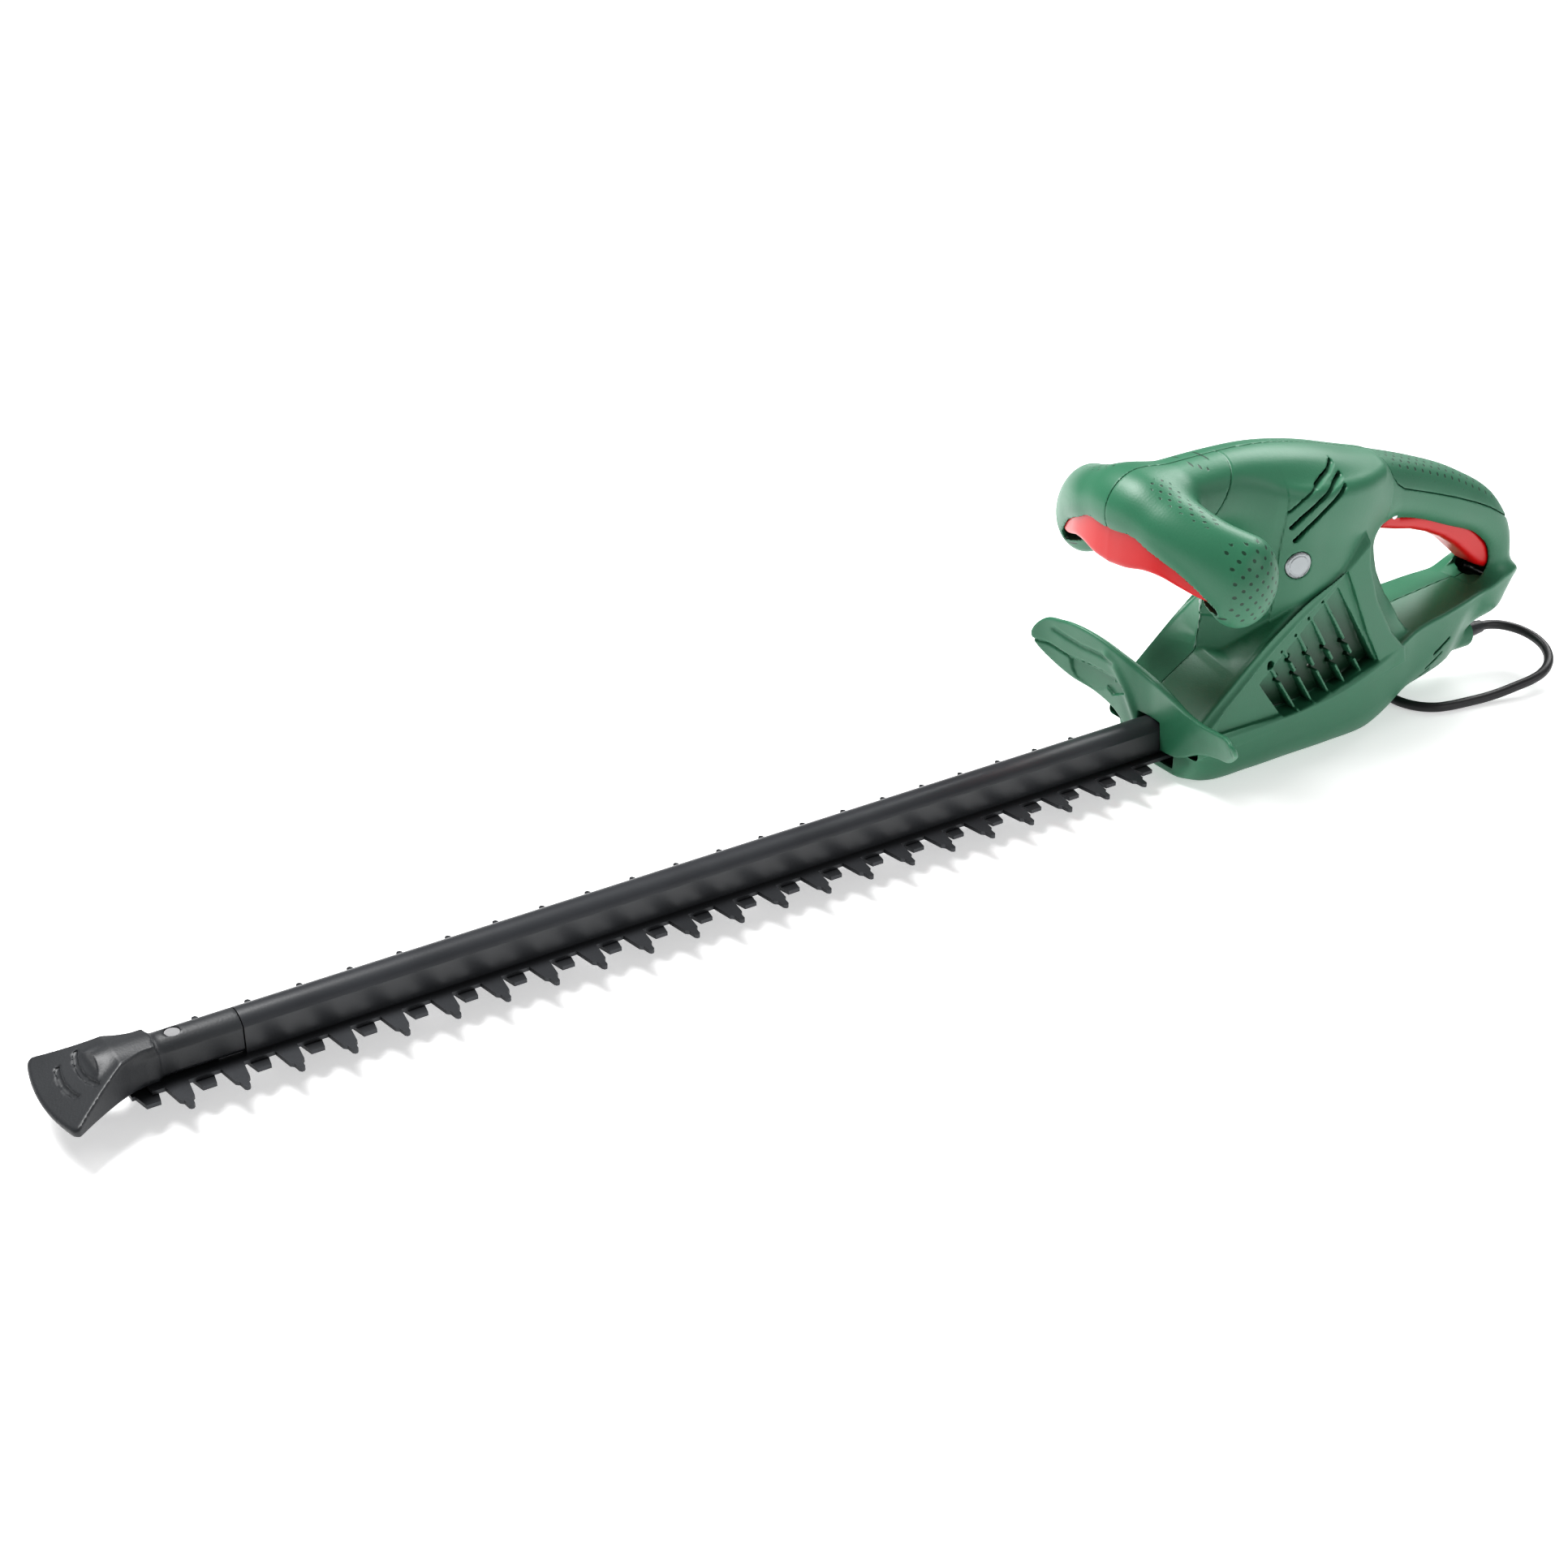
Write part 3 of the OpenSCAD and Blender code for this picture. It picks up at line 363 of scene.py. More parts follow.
def slots(x, y, z):
    """Cooling slots high on the column and low on the tail."""
    a = np.abs(y)
    cut = np.full(np.broadcast(x, y, z).shape, 1e3)
    for line, r in zip(TOP_SLOTS, SLOT_R):
        cut = np.minimum(cut, np.maximum(track(x, z, np.array(line, float))[0] - r, 9 - a))
    for line in TAIL_SLOTS:
        cut = np.minimum(cut, np.maximum(track(x, z, np.array(line, float))[0] - 1.1, 14 - a))
    return cut


BADGE = (-7.3, 116.6)
BADGE_R = 7.4
WALL = 2.6          # thickness of the mouldings
SEAM = 0.05         # half the gap between the left and the right half
RELIEF_BORE = 5.3


def trigger_slot(x, y, z):
    """Room for the rear trigger in the D handle's underside."""
    outline = [(70, 100), (150, 62), (167.5, 66), (168, 92), (140, 116), (100, 124), (70, 124)]
    return smax(np.abs(y) - 11.6, polygon(x, z, outline), 1)


GRIP = [(62, 175), (64.5, 160), (66.5, 154), (69, 146), (73, 141), (79, 137), (94, 132), (109, 127),
        (124, 121.8), (140, 115.4), (153, 109.5), (168, 101), (182, 92), (196, 84), (200, 175)]


def badge_round(x, y, z, gap=0.0):
    """The round bed of the badge, 1.2 mm into the column's left side."""
    round_ = np.hypot(x - BADGE[0], z - BADGE[1]) - BADGE_R - gap
    return np.maximum(np.maximum(round_, -(column(x, y, z) + 1.2)), y)


def badge(x, y, z):
    """Plain disc with a raised ring."""
    r = np.hypot(x - BADGE[0], z - BADGE[1])
    rim = 0.35 - 0.5 * np.clip(1 - np.abs(r - 6.6) / 0.5, 0, 1) - 0.25 * (r < 5.2)
    return smax(badge_round(x, y, z), column(x, y, z) + rim - 0.3, 0.2)


def grip_region(x, y, z):
    """The soft panel's outline on the D handle."""
    return polygon(x, z, GRIP)


def housing(side):
    """One half of the housing: -1 left, 1 right."""
    def field(x, y, z):
        solid = body_solid(x, y, z)
        # The wall stays whole behind the louvres
        backing = np.maximum(polygon(x, z, RECESS) - 2.5, panel_half(z) - 13.5 - np.abs(y))
        d = np.maximum(solid, -np.maximum(solid + WALL, -backing))
        cut = np.minimum(louvres(x, y, z), slots(x, y, z))
        cut = np.minimum(cut, trigger_slot(x, y, z))
        cut = np.minimum(cut, np.hypot(y, z - CORD_Z) - RELIEF_BORE + 10 * (x < 120))
        # Mouth for the rail and the cutter, and the base cover's opening
        mouth = np.maximum(np.maximum(x + 48, np.abs(y) - 15.5), np.maximum(8 - z, z - 35))
        base = np.maximum(np.maximum(np.abs(x - 8) - 57, np.abs(y) - 24), z - 3.1)
        cut = np.minimum(cut, np.minimum(mouth, base))
        # Bed of the soft panel, with a fine gap round it
        bed = smax(grip_region(x, y, z), -(arch(x, y, z) + 1.6), 0.4)
        cut = np.minimum(cut, bed)
        if side < 0:
            cut = np.minimum(cut, badge_round(x, y, z, 0.3))
        d = smax(d, -cut, 0.6)
        d = smax(d, seam_x(z) - x - 30 * (z < 120), 0.7)
        return smax(d, SEAM - side * y, 0.7)
    return field


def grip_inlay(x, y, z):
    """The soft panel itself, a skin on the arch."""
    skin = smax(arch(x, y, z), -(arch(x, y, z) + 1.5), 0.3)
    return smax(skin, grip_region(x, y, z) + 0.35, 0.8)


# Front handle: x, y, z and the three half sizes of the swept pod, right half
BOW = curve_points([
    (-97, 0, 161, 20, 12, 17), (-96, 14, 159.5, 19.5, 12, 17), (-94.5, 28, 155, 19, 12, 17),
    (-87, 46, 146, 18.5, 13, 18.5), (-76.5, 59, 134.5, 20, 16, 24.5)], 44)
BAR = ([0, 12, 24, 34, 42, 51, 60],
       dict(front=[-114.4, -113.8, -111.6, -108.4, -104.6, -99.6, -94],
            back=[-92, -91.8, -91, -90, -88, -86, -84],
            low=[132, 133, 135, 134, 131, 127.5, 125],
            high=[157.2, 157.2, 155.6, 151.9, 147, 139, 129]))


def bow(x, y, z):
    """Front handle as one solid, with its stem."""
    a = np.abs(y)
    d = pod(x, a, z, BOW[0, :3], BOW[0, 3:])
    for station in BOW[1:]:
        d = np.minimum(d, pod(x, a, z, station[:3], station[3:]))
    return smin(d, smax(arch(x, y, z), x - 10, 1), 9)


def bar_shape(x, y, z, gap=0.0, rise=0.0):
    """Front switch bar, or the room for it when a gap and its travel are given."""
    a = np.abs(y)
    at = {k: smooth(a, BAR[0], v) for k, v in BAR[1].items()}
    d = smax(np.abs(x - (at["front"] + at["back"]) / 2) - (at["back"] - at["front"]) / 2 - gap,
             np.maximum(at["low"] - gap * 12 - z, z - at["high"] - gap - rise), 4)
    return smax(d, a - 60.5 - gap, 2)


def front_handle(side):
    """One half of the front handle."""
    def field(x, y, z):
        solid = bow(x, y, z)
        d = np.maximum(solid, -(solid + WALL))
        d = smax(d, -bar_shape(x, y, z, 0.45, 4.6), 0.8)
        d = smax(d, x - seam_x(z) + 0.25, 0.7)
        return smax(d, SEAM - side * y, 0.7)
    return field


# Hand guard along y: x at its foot and at its top, lower and upper edge
GUARD = ([-84, -76, -66, -53, -38, -24, -10, 0, 8, 20, 32, 47, 63, 76, 84],
         dict(foot=[-93, -86, -80, -75.5, -73, -73, -73, -73, -73, -73, -73, -75, -80, -86, -93],
              top=[-94, -91.5, -90, -88, -85, -81, -77, -75, -76, -80, -83, -86, -88, -90.5, -94],
              low=[52, 45, 37, 32.5, 27.5, 20, 15, 15, 15, 20, 26, 31, 35.5, 44, 54],
              high=[53, 56, 55.5, 54, 53.6, 53.8, 54, 54.5, 57, 62.5, 67, 69.8, 69, 65.5, 57]))
WING_STEP = np.array([(82, 52.5), (74, 51.7), (67.8, 49.8), (60.8, 48), (44, 47.8), (26, 47)], float)
WING_GROOVE = np.array([(69, 62.3), (60, 59.8), (50, 58), (38, 58), (27, 56.5)], float)
WING_SPINE = np.array([(30, 60), (24, 54), (17, 42), (11, 29), (7, 18)], float)
WING_SCOOP = [(61, 47.6), (26, 46.6), (30, 40), (38, 34.5), (47, 31), (58, 35), (60.5, 40)]
WING_POCKET = [(37, 38.5), (30, 34.5), (17.5, 41), (20, 46), (25, 46.5)]


def guard_leaf(x, y, z):
    """The hand guard's leaf, before the rail and the blade pass through it."""
    at = {k: smooth(np.clip(y, -84, 84), GUARD[0], v) for k, v in GUARD[1].items()}
    span = np.maximum(at["high"] - at["low"], 6)
    middle = at["foot"] + (at["top"] - at["foot"]) * np.clip((z - at["low"]) / span, -0.2, 1.2)
    a = np.abs(y)
    thick = 1.7 + 1.0 * np.exp(-((a - 4) / 26) ** 2)
    # Front of the leaf: the far wing has a step with a scoop below it, a groove and a spine
    far = y > 0
    front = -thick
    groove = 1.3 * np.exp(-(track(y, z, WING_GROOVE)[0] / 1.6) ** 2)
    line = 1.1 * np.exp(-(track(y, z, WING_STEP)[0] / 0.8) ** 2)
    scoop_in = np.clip(-polygon(y, z, WING_SCOOP) / 1.0, 0, 1)
    below = np.clip((48 - z) / 14, 0, 1)
    scoop = 2.6 * scoop_in * (1 - 0.8 * below)
    pocket = 1.8 * np.clip(-polygon(y, z, WING_POCKET) / 0.8, 0, 1)
    spine = 1.6 * np.exp(-(track(y, z, WING_SPINE)[0] / 3.2) ** 2)
    front = front + np.where(far, groove + line + np.maximum(scoop, pocket) - spine, 0)
    back = thick + np.where(far, np.maximum(scoop, pocket) * 0.9, 0)
    x0 = x - middle
    sheet = np.maximum(front - x0, x0 - back) * 0.9
    edge = smax((at["low"] - 1.2 - z) * 0.8, (z - at["high"] - 1.2) * 0.8, 4)
    return smax(sheet, smax(edge, a - 83.5, 5), 1.8)


def guard_field(x, y, z):
    """The hand guard with its mouth."""
    d = guard_leaf(x, y, z)
    mouth = np.maximum(np.abs(y) - 8.7, np.maximum(10 - z, z - 34.2))
    blade = np.maximum(np.abs(y) - 22, np.maximum(5 - z, z - 17.5))
    return smax(d, -np.minimum(mouth, blade), 0.6)


def tip_field(x, y, z):
    """Tip protector: a fan with two arc grooves at the end of the rail."""
    a = np.abs(y)
    ahead = np.clip((-640 - x) / 38, 0, 1)
    top = 34 - 14.5 * np.clip((-652 - x) / 32, 0, 1)
    half = 8.5 + 23 * ahead**1.35
    nose = np.hypot(x + 640, y * 0.62) - 44.5
    fan = smax(smax(a - half, nose, 3), np.maximum(16 + 1.5 * ahead - z, z - top), 1.6)
    socket = smax(np.maximum(a - 8.5, np.hypot(a, z - 24) - 10),
                  np.maximum(16 - z, np.maximum(x + 596.3, -660 - x)), 0.5)
    d = smin(np.maximum(fan, x + 636), socket, 4)
    r = np.hypot(x + 628, y)
    top_side = z > 19
    for radius in (38, 46):
        rib = smax(np.abs(r - radius) - 1.1, a - 15 + 0.2 * (radius - 38), 1)
        d = smax(d, -np.where(top_side, np.maximum(rib, -(d + 0.9)), 9), 0.4)
    hole = np.hypot(x + 625, y) - 3.6
    d = smax(d, -np.maximum(hole, 31 - z), 0.3)
    inner = np.maximum(np.maximum(a - 6.2, z - 27), np.maximum(15 - z, -610 - x))
    return np.maximum(d, -inner)


# ---------- meshing ----------

def mesh_field(name, field, low, high, step=None):
    """Surface of a field inside a box, as a mesh of quads in metres."""
    step = step or STEP
    axes = [np.arange(a, b + step, step) for a, b in zip(low, high)]
    x, y, z = (axes[0][:, None, None], axes[1][None, :, None], axes[2][None, None, :])
    f = np.ascontiguousarray(np.broadcast_to(field(x, y, z), [len(a) for a in axes]), np.float32)
    solid = f < 0
    n = np.array(f.shape) - 1
    count = np.zeros(n, np.uint8)
    corners = [(i, j, k) for i in (0, 1) for j in (0, 1) for k in (0, 1)]
    for i, j, k in corners:
        count += solid[i:i + n[0], j:j + n[1], k:k + n[2]]
    cells = np.argwhere((count > 0) & (count < 8))
    index = np.full(n, -1, np.int32)
    index[tuple(cells.T)] = np.arange(len(cells))
    value = {c: f[cells[:, 0] + c[0], cells[:, 1] + c[1], cells[:, 2] + c[2]] for c in corners}
    total, hits = np.zeros((len(cells), 3)), np.zeros(len(cells))
    for c in corners:
        for axis in range(3):
            if c[axis]:
                continue
            other = tuple(1 if a == axis else v for a, v in enumerate(c))
            va, vb = value[c], value[other]
            cross = (va < 0) != (vb < 0)
            t = np.where(cross, va / np.where(cross, va - vb, 1), 0)
            spot = np.array(c, float)[None, :] + np.zeros((len(cells), 3))
            spot[:, axis] += t
            total += spot * cross[:, None]
            hits += cross
    points = np.array([a[0] for a in axes]) + (cells + total / hits[:, None]) * step
    # Draw the points onto the surface
    h = 0.05
    for _ in range(2):
        px, py, pz = points.T
        v = field(px, py, pz)
        g = np.stack([field(px + h, py, pz) - v, field(px, py + h, pz) - v,
                      field(px, py, pz + h) - v], 1) / h
        size = np.maximum((g * g).sum(1), 0.2)
        move = -(v / size)[:, None] * g
        reach = np.linalg.norm(move, axis=1)
        move *= np.minimum(1, 0.45 * step / np.maximum(reach, 1e-9))[:, None]
        points = points + move
    quads = []
    for axis in range(3):
        u, v = [(1, 2), (2, 0), (0, 1)][axis]
        a = [slice(1, -1)] * 3
        b = [slice(1, -1)] * 3
        a[axis], b[axis] = slice(0, -1), slice(1, None)
        first, second = solid[tuple(a)], solid[tuple(b)]
        where = np.argwhere(first != second)
        base = where + 1
        base[:, axis] -= 1
        flip = first[tuple(where.T)]
        step_u, step_v = np.eye(3, dtype=int)[u], np.eye(3, dtype=int)[v]
        ring = [base, base - step_u, base - step_u - step_v, base - step_v]
        ids = np.stack([index[tuple(r.T)] for r in ring], 1)
        ids = np.where(flip[:, None], ids, ids[:, ::-1])
        quads.append(ids)
    quads = np.concatenate(quads)
    mesh = bpy.data.meshes.new(name)
    mesh.vertices.add(len(points))
    mesh.vertices.foreach_set("co", (points * MM).astype(np.float32).ravel())
    mesh.loops.add(len(quads) * 4)
    mesh.loops.foreach_set("vertex_index", quads.astype(np.int32).ravel())
    mesh.polygons.add(len(quads))
    mesh.polygons.foreach_set("loop_start", np.arange(0, len(quads) * 4, 4, dtype=np.int32))
    mesh.polygons.foreach_set("use_smooth", np.ones(len(quads), bool))
    mesh.update(calc_edges=True)
    mesh.set_sharp_from_angle(angle=math.radians(42))
    return mesh


TRIGGER = [(73, 112), (86, 108.5), (98, 106), (111, 101.5), (124, 95.5), (136, 88), (147, 79),
           (156, 71.5), (163, 68), (167, 71), (167, 76), (162, 85), (150, 96.5), (142, 101.5),
           (141, 106), (131, 106), (120, 111.5), (104, 115.2), (88, 117.5), (84, 125), (73, 125)]
TRIGGER_PIN = (78, 120.5)


def trigger_field(x, y, z):
    """Rear trigger with its pin's bore."""
    d = smax(polygon(x, z, TRIGGER), np.abs(y) - 10.8, 5)
    return smax(d, -(np.hypot(x - TRIGGER_PIN[0], z - TRIGGER_PIN[1]) - 2.05), 0.3)


def build(name, field, low, high, slot, node, body="body", step=None):
    """Mesh a field and let it stand for one CAD node."""
    return link(name, mesh_field(name, field, low, high, step), body, slot, (node,))


shells, bows = [], []
for side, word in ((-1, "left"), (1, "right")):
    y_low, y_high = (-40, 1.6) if side < 0 else (-1.6, 40)
    shells.append(build("shell_" + word, housing(side), (-74, y_low, -1), (188, y_high, 184),
                        "green_plastic", "housing_" + word))
    y_low, y_high = (-80, 1.6) if side < 0 else (-1.6, 80)
    bows.append(build("bow_" + word, front_handle(side), (-122, y_low, 103), (-42, y_high, 184),
                      "green_plastic", "front_handle_" + word))
guard = build("guard_leaf", guard_field, (-102, -85, 9), (-64, 85, 74), "green_plastic", "hand_guard")
badge_disc = build("badge_disc", badge, (-17, -36, 107), (3, -24, 127), "badge", "column_badge",
                   step=0.4)
tip = build("tip_fan", tip_field, (-688, -34, 14), (-594, 34, 36), "black_plastic", "tip_protector")
grip = build("rear_grip_skin", grip_inlay, (60, -24, 78), (194, 24, 162), "soft_grip",
             "rear_grip_inlay")
bar = build("front_bar_skin", bar_shape, (-118, -64, 120), (-80, 64, 162), "red_plastic",
            "front_switch_bar", "switch_bar")
trigger = build("rear_trigger_skin", trigger_field, (68, -13, 64), (171, 13, 128), "red_plastic",
                "rear_trigger", "trigger")


# ---------- dimples and pockets ----------

def corners_mm(mesh):
    """x, y and z of a mesh's vertices in millimetres."""
    points = np.empty(len(mesh.vertices) * 3, np.float32)
    mesh.vertices.foreach_get("co", points)
    return points.reshape(-1, 3).T / MM


def dimple(obj, place):
    """Store where the dimples sit: two coordinates in pitches, and a mask."""
    u, v, mask = place(*corners_mm(obj.data))
    obj.data.attributes.new("dimples", "FLOAT_VECTOR", "POINT").data.foreach_set(
        "vector", np.stack([u, v, mask], 1).astype(np.float32).ravel())


LOBE_PITCH, ARM_PITCH, GRIP_PITCH = 7.0, 6.1, 6.5


def bow_dimples(x, y, z):
    """Three staggered rows along each arm, a field on each lobe, and a few on the stem."""
    a = np.abs(y)
    order = np.argsort(BOW[:, 1])
    middle_x, middle_z = (np.interp(a, BOW[order, 1], BOW[order, k]) for k in (0, 2))
    arm = (np.abs(x - middle_x + 2) < 6.2) & (z > middle_z + 4) & (a > 13) & (a < 50)
    lobe = (a >= 50) & (z > 116) & (z < 158) & (x > -92) & (x < -62)
    stem = (np.abs(x + 62) < 7.5) & (a < 13) & (z > 160)
    along = np.hypot(a, 0.6 * (x - middle_x))
    u = np.where(lobe, z / LOBE_PITCH, along / ARM_PITCH)
    v = np.where(lobe, x / LOBE_PITCH, (x - middle_x + 2) / ARM_PITCH)
    return u, v, (arm | lobe | stem).astype(float)


def grip_dimples(x, y, z):
    """A staggered field over the top of the rear grip."""
    on_top = (arch(x, y, z) > -0.9) & (np.abs(y) < 15.5) & (grip_region(x, y, z) < -5)
    return (x * 0.93 - z * 0.36) / GRIP_PITCH, y / GRIP_PITCH, on_top.astype(float)


def paint_pocket_shade(obj):
    """Store how deep each point sits in the louvres, where painted shade darkens the moulding."""
    x, y, z = corners_mm(obj.data)
    deep = np.clip((panel_half(z) - 2.6 - np.abs(y)) / 5, 0, 1) * (polygon(x, z, RECESS) < 0.3)
    obj.data.attributes.new("pocket", "FLOAT", "POINT").data.foreach_set(
        "value", deep.astype(np.float32))


for obj in shells:
    paint_pocket_shade(obj)
for obj in bows:
    dimple(obj, bow_dimples)
dimple(grip, grip_dimples)


# ---------- materials ----------

# Painted shade: multiplies the base colour towards a darker tone where shade would fall.
def darken_for_shade(nodes, links, amount, color, shade_color):
    """Colour darkened towards a painted shade colour by an amount from 0 to 1."""
    mix = nodes.new("ShaderNodeMixRGB")
    mix.blend_type = "MULTIPLY"
    mix.inputs["Color2"].default_value = (*shade_color, 1)
    links.new(amount, mix.inputs["Fac"])
    links.new(color, mix.inputs["Color1"])
    return mix.outputs["Color"]


def attribute(nodes, name):
    """A stored attribute of the mesh."""
    stored = nodes.new("ShaderNodeAttribute")
    stored.attribute_name = name
    return stored


def calc(nodes, links, operation, *values):
    """One step of arithmetic on numbers or sockets."""
    node = nodes.new("ShaderNodeMath")
    node.operation = operation
    for socket, value in zip(node.inputs, values):
        if isinstance(value, (int, float)):
            socket.default_value = value
        else:
            links.new(value, socket)
    return node.outputs["Value"]


def dimple_pits(nodes, links):
    """1 in each dimple and 0 outside, from the stored coordinates and mask."""
    def step(operation, *values):
        return calc(nodes, links, operation, *values)

    apart = nodes.new("ShaderNodeSeparateXYZ")
    links.new(attribute(nodes, "dimples").outputs["Vector"], apart.inputs["Vector"])
    # Distance to the closest point of a staggered lattice
    gaps = []
    for shift in (0.0, 0.5):
        squares = []
        for axis in ("X", "Y"):
            part = step("FRACT", step("ADD", apart.outputs[axis], shift + 100))
            squares.append(step("POWER", step("SUBTRACT", part, 0.5), 2.0))
        gaps.append(step("SQRT", step("ADD", *squares)))
    pit = nodes.new("ShaderNodeMapRange")
    pit.interpolation_type = "SMOOTHSTEP"
    pit.inputs["From Min"].default_value, pit.inputs["From Max"].default_value = 0.15, 0.10
    links.new(step("MINIMUM", *gaps), pit.inputs["Value"])
    return step("MULTIPLY", pit.outputs["Result"], apart.outputs["Z"])


def material(name, color, rough, metal=0.0, grain=0.0, grain_scale=900.0, spread=0.12,
             dimples=False, pockets=False):
    """Procedural finish: a slow colour and roughness drift, a fine moulded or ground grain, and
    painted shade in louvre pockets and dimples when asked.
    """
    m = bpy.data.materials.new(name)
    m.use_nodes = True
    nodes, links = m.node_tree.nodes, m.node_tree.links
    shader = nodes["Principled BSDF"]
    shader.inputs["Metallic"].default_value = metal
    coords = nodes.new("ShaderNodeTexCoord")
    drift = nodes.new("ShaderNodeTexNoise")
    drift.inputs["Scale"].default_value = 22
    drift.inputs["Detail"].default_value = 4
    links.new(coords.outputs["Object"], drift.inputs["Vector"])
    ramp = nodes.new("ShaderNodeValToRGB")
    for element, place, sign in zip(ramp.color_ramp.elements, (0.3, 0.7), (-1, 1)):
        element.position = place
        element.color = (*(min(1, c * (1 + sign * spread)) for c in color), 1)
    links.new(drift.outputs["Fac"], ramp.inputs["Fac"])
    wear = nodes.new("ShaderNodeMapRange")
    wear.inputs["To Min"].default_value = max(0.03, rough - 0.07)
    wear.inputs["To Max"].default_value = rough + 0.07
    links.new(drift.outputs["Fac"], wear.inputs["Value"])
    links.new(wear.outputs["Result"], shader.inputs["Roughness"])
    base = ramp.outputs["Color"]
    # Painted shade: the louvre pockets are darkened in the base colour by how deep they sit.
    if pockets:
        pocket_shade = attribute(nodes, "pocket").outputs["Fac"]
        base = darken_for_shade(nodes, links, pocket_shade, base, (0.16, 0.24, 0.19))
    # Painted shade: each dimple pit is darkened in the base colour; the dent itself comes from the
    # bump below.
    if dimples:
        pits = dimple_pits(nodes, links)
        base = darken_for_shade(nodes, links, pits, base, (0.25, 0.28, 0.26))
    links.new(base, shader.inputs["Base Color"])
    if grain:
        fine = nodes.new("ShaderNodeTexNoise")
        fine.inputs["Scale"].default_value = grain_scale
        fine.inputs["Detail"].default_value = 2
        links.new(coords.outputs["Object"], fine.inputs["Vector"])
        bump = nodes.new("ShaderNodeBump")
        bump.inputs["Strength"].default_value = grain
        bump.inputs["Distance"].default_value = 0.0002
        height = fine.outputs["Fac"]
        if dimples:
            dents = calc(nodes, links, "MULTIPLY", pits, 6.0)
            height = calc(nodes, links, "SUBTRACT", height, dents)
        links.new(height, bump.inputs["Height"])
        links.new(bump.outputs["Normal"], shader.inputs["Normal"])
    return m


GREEN = (0.034, 0.165, 0.090)
green = material("green_nylon", GREEN, 0.42, grain=0.25, spread=0.05)
dotted = material("green_nylon_dimpled", GREEN, 0.42, grain=0.25, spread=0.05, dimples=True)
vented = material("green_nylon_vented", GREEN, 0.42, grain=0.25, spread=0.05, pockets=True)
soft = material("green_soft_grip", (0.030, 0.150, 0.082), 0.52, grain=0.4, spread=0.05, dimples=True)
red = material("red_gloss", (0.56, 0.003, 0.005), 0.34, spread=0.05)
black = material("black_nylon", (0.022, 0.024, 0.027), 0.45, grain=0.3)
rail_paint = material("rail_paint", (0.028, 0.030, 0.034), 0.36, grain=0.15, spread=0.1)
blade_steel = material("blackened_steel", (0.040, 0.042, 0.046), 0.40, metal=0.6, grain=0.2)
zinc = material("zinc_plate", (0.55, 0.55, 0.56), 0.34, metal=1.0, grain=0.15)
ground_steel = material("ground_steel", (0.62, 0.62, 0.63), 0.25, metal=1.0, grain=0.2)
cast = material("cast_alloy", (0.50, 0.51, 0.52), 0.5, metal=1.0, grain=0.5, grain_scale=500)
natural = material("natural_nylon", (0.62, 0.62, 0.57), 0.5, grain=0.2)
lamination = material("laminations", (0.30, 0.30, 0.32), 0.45, metal=0.9, grain=0.4)
copper = material("enamelled_copper", (0.60, 0.22, 0.09), 0.35, metal=0.8, grain=0.3)
brass = material("brass", (0.70, 0.50, 0.20), 0.3, metal=1.0)
carbon = material("carbon", (0.03, 0.03, 0.03), 0.7, grain=0.4)
film = material("film_case", (0.60, 0.45, 0.06), 0.4)
badge_metal = material("badge_satin", (0.34, 0.36, 0.37), 0.42, metal=1.0, grain=0.1)
sheath = material("cord_pvc", (0.020, 0.020, 0.022), 0.42, grain=0.15)
lead = material("lead_sheath", (0.35, 0.35, 0.33), 0.5)
plug_rubber = material("plug_rubber", (0.022, 0.022, 0.024), 0.5, grain=0.3)

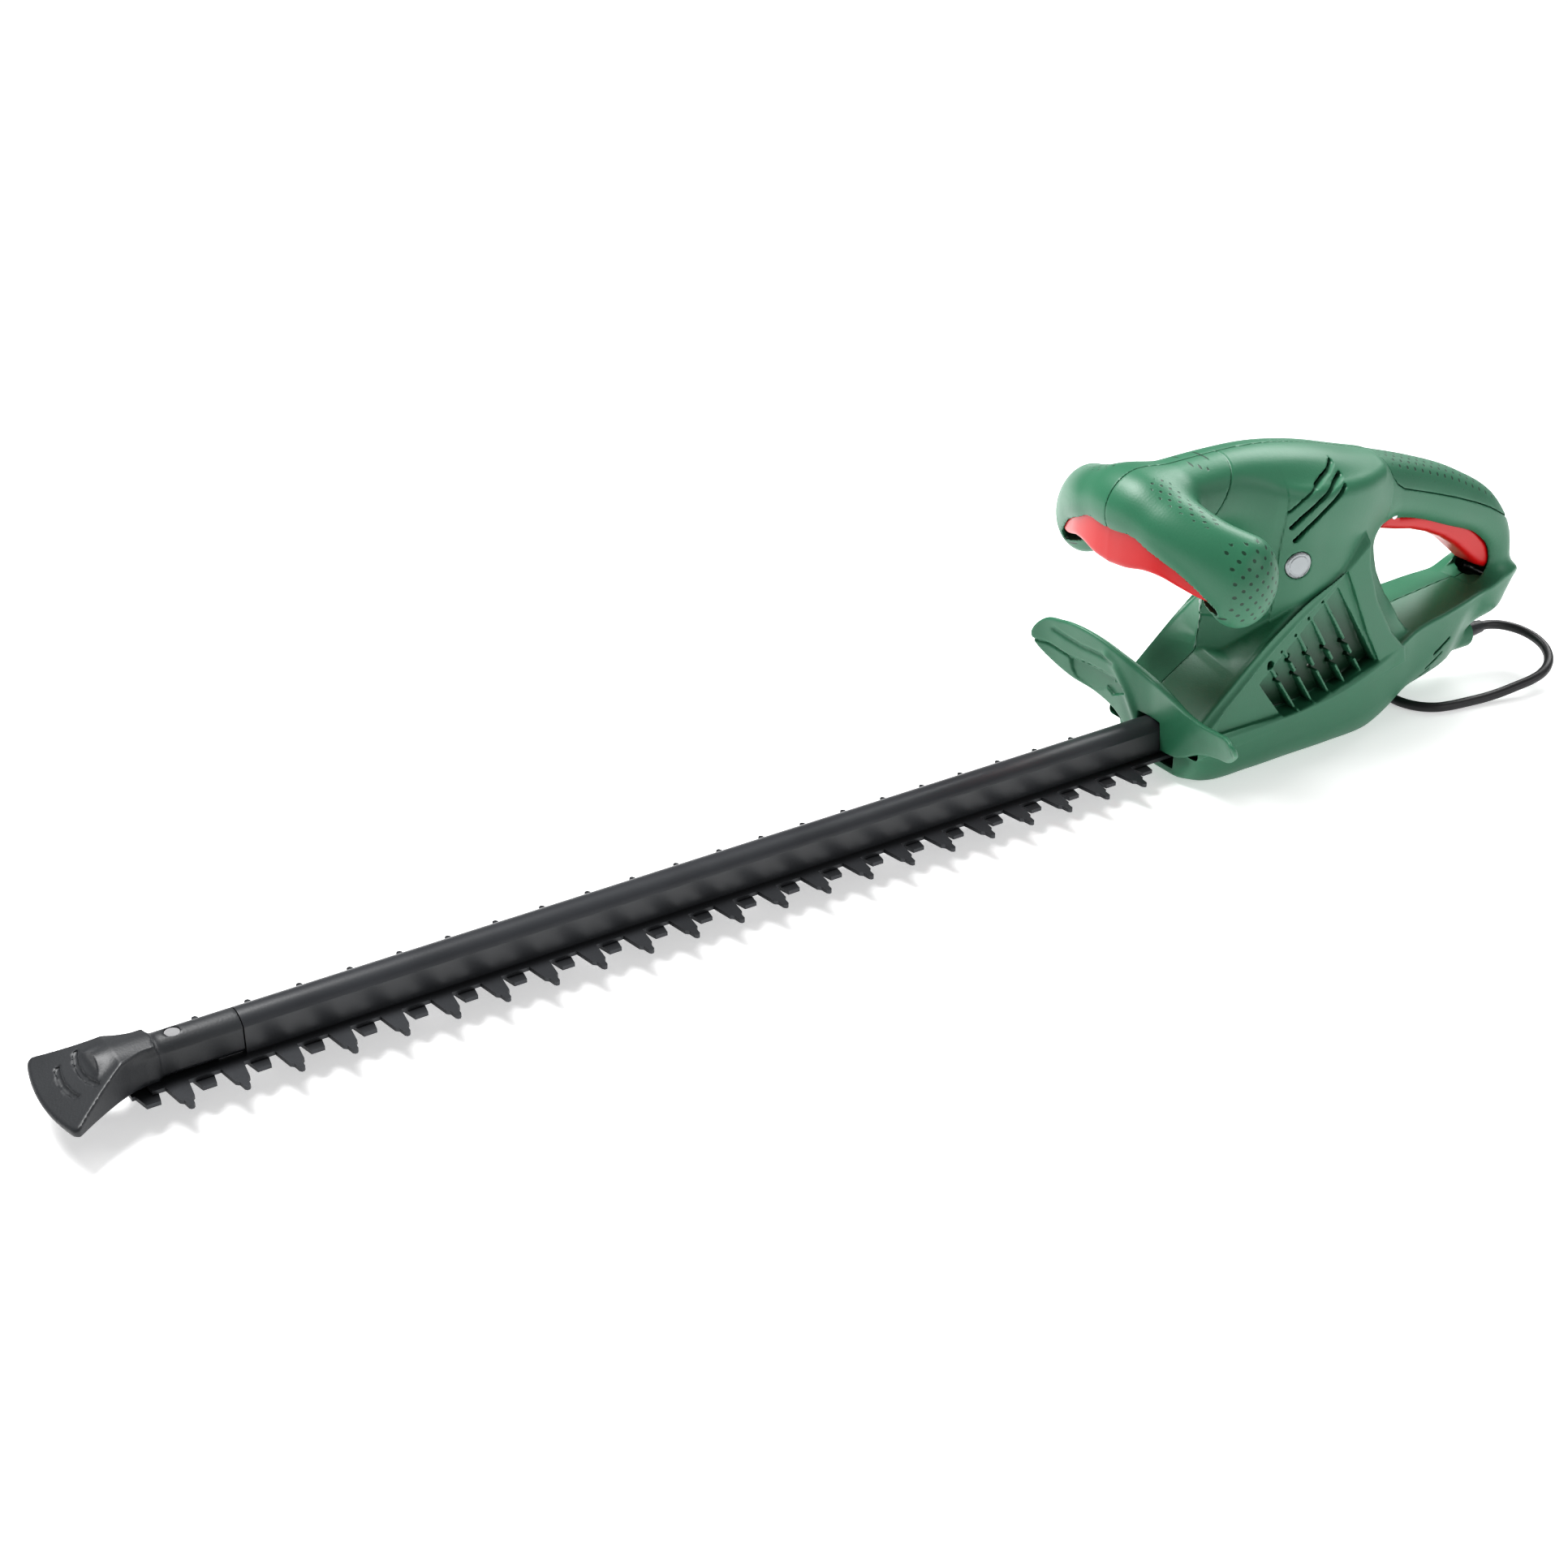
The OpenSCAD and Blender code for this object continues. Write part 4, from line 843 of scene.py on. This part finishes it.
SLOT_MATERIALS = {
    "green_plastic": green, "soft_grip": soft, "red_plastic": red, "black_plastic": black,
    "rail_paint": rail_paint, "blade_black": blade_steel, "zinc_steel": zinc,
    "bright_steel": ground_steel, "cast_alloy": cast, "fan_plastic": natural,
    "lamination": lamination, "copper": copper, "brass": brass, "carbon": carbon,
    "film_yellow": film, "badge": badge_metal, "cord_pvc": sheath, "lead_sheath": lead,
    "plug_rubber": plug_rubber}
for part in frame["record"]["subparts"]:
    obj = frame["nodes"][part["node"]]
    obj.data.materials.clear()
    obj.data.materials.append(SLOT_MATERIALS[part["material_slot"]])
for obj in [*shells, *bows, guard, badge_disc, tip, grip, bar, trigger, power_cord]:
    obj.data.materials.clear()
    obj.data.materials.append(SLOT_MATERIALS[obj["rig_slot"]])
for obj in bows:
    obj.data.materials[0] = dotted
# The vented green carries the painted shade in the louvre pockets.
for obj in shells:
    obj.data.materials[0] = vented

# ---------- floor and light ----------

floor_mesh = bpy.data.meshes.new("floor")
FLOOR_EDGE = 6.0
floor_mesh.from_pydata([(u * FLOOR_EDGE, v * FLOOR_EDGE, 0)
                        for u, v in ((-1, -1), (1, -1), (1, 1), (-1, 1))], [], [(0, 1, 2, 3)])
floor = bpy.data.objects.new("floor", floor_mesh)
floor.location.z = -0.0003
bpy.context.scene.collection.objects.link(floor)
pale = material("pale_floor", (0.86, 0.86, 0.86), 0.8, spread=0.01)
pale.node_tree.nodes["Principled BSDF"].inputs["Emission Color"].default_value = (1, 1, 1, 1)
pale.node_tree.nodes["Principled BSDF"].inputs["Emission Strength"].default_value = 0.42
floor_mesh.materials.append(pale)

world = bpy.data.worlds.new("studio")
bpy.context.scene.world = world
world.use_nodes = True
world.node_tree.nodes["Background"].inputs["Color"].default_value = (1, 1, 1, 1)
world.node_tree.nodes["Background"].inputs["Strength"].default_value = 0.2


def softbox(name, place, target, size, power):
    """A rectangular light that looks at a target, metres and watts."""
    lamp = bpy.data.lights.new(name, "AREA")
    lamp.shape = "RECTANGLE"
    lamp.size, lamp.size_y = size
    lamp.energy = power
    obj = bpy.data.objects.new(name, lamp)
    obj.location = place
    obj.rotation_euler = (Vector(target) - Vector(place)).to_track_quat("-Z", "Y").to_euler()
    bpy.context.scene.collection.objects.link(obj)


softbox("key", (-0.7, 0.8, 2.0), (-0.1, 0, 0.08), (1.2, 0.9), 64)
softbox("fill", (0.7, -1.9, 1.0), (0, 0, 0.08), (1.6, 0.8), 9)
softbox("back", (1.3, 0.5, 1.2), (0, 0, 0.1), (1.0, 0.8), 16)
bpy.context.scene.view_settings.view_transform = "Standard"
bpy.context.scene.view_settings.look = "Medium High Contrast"
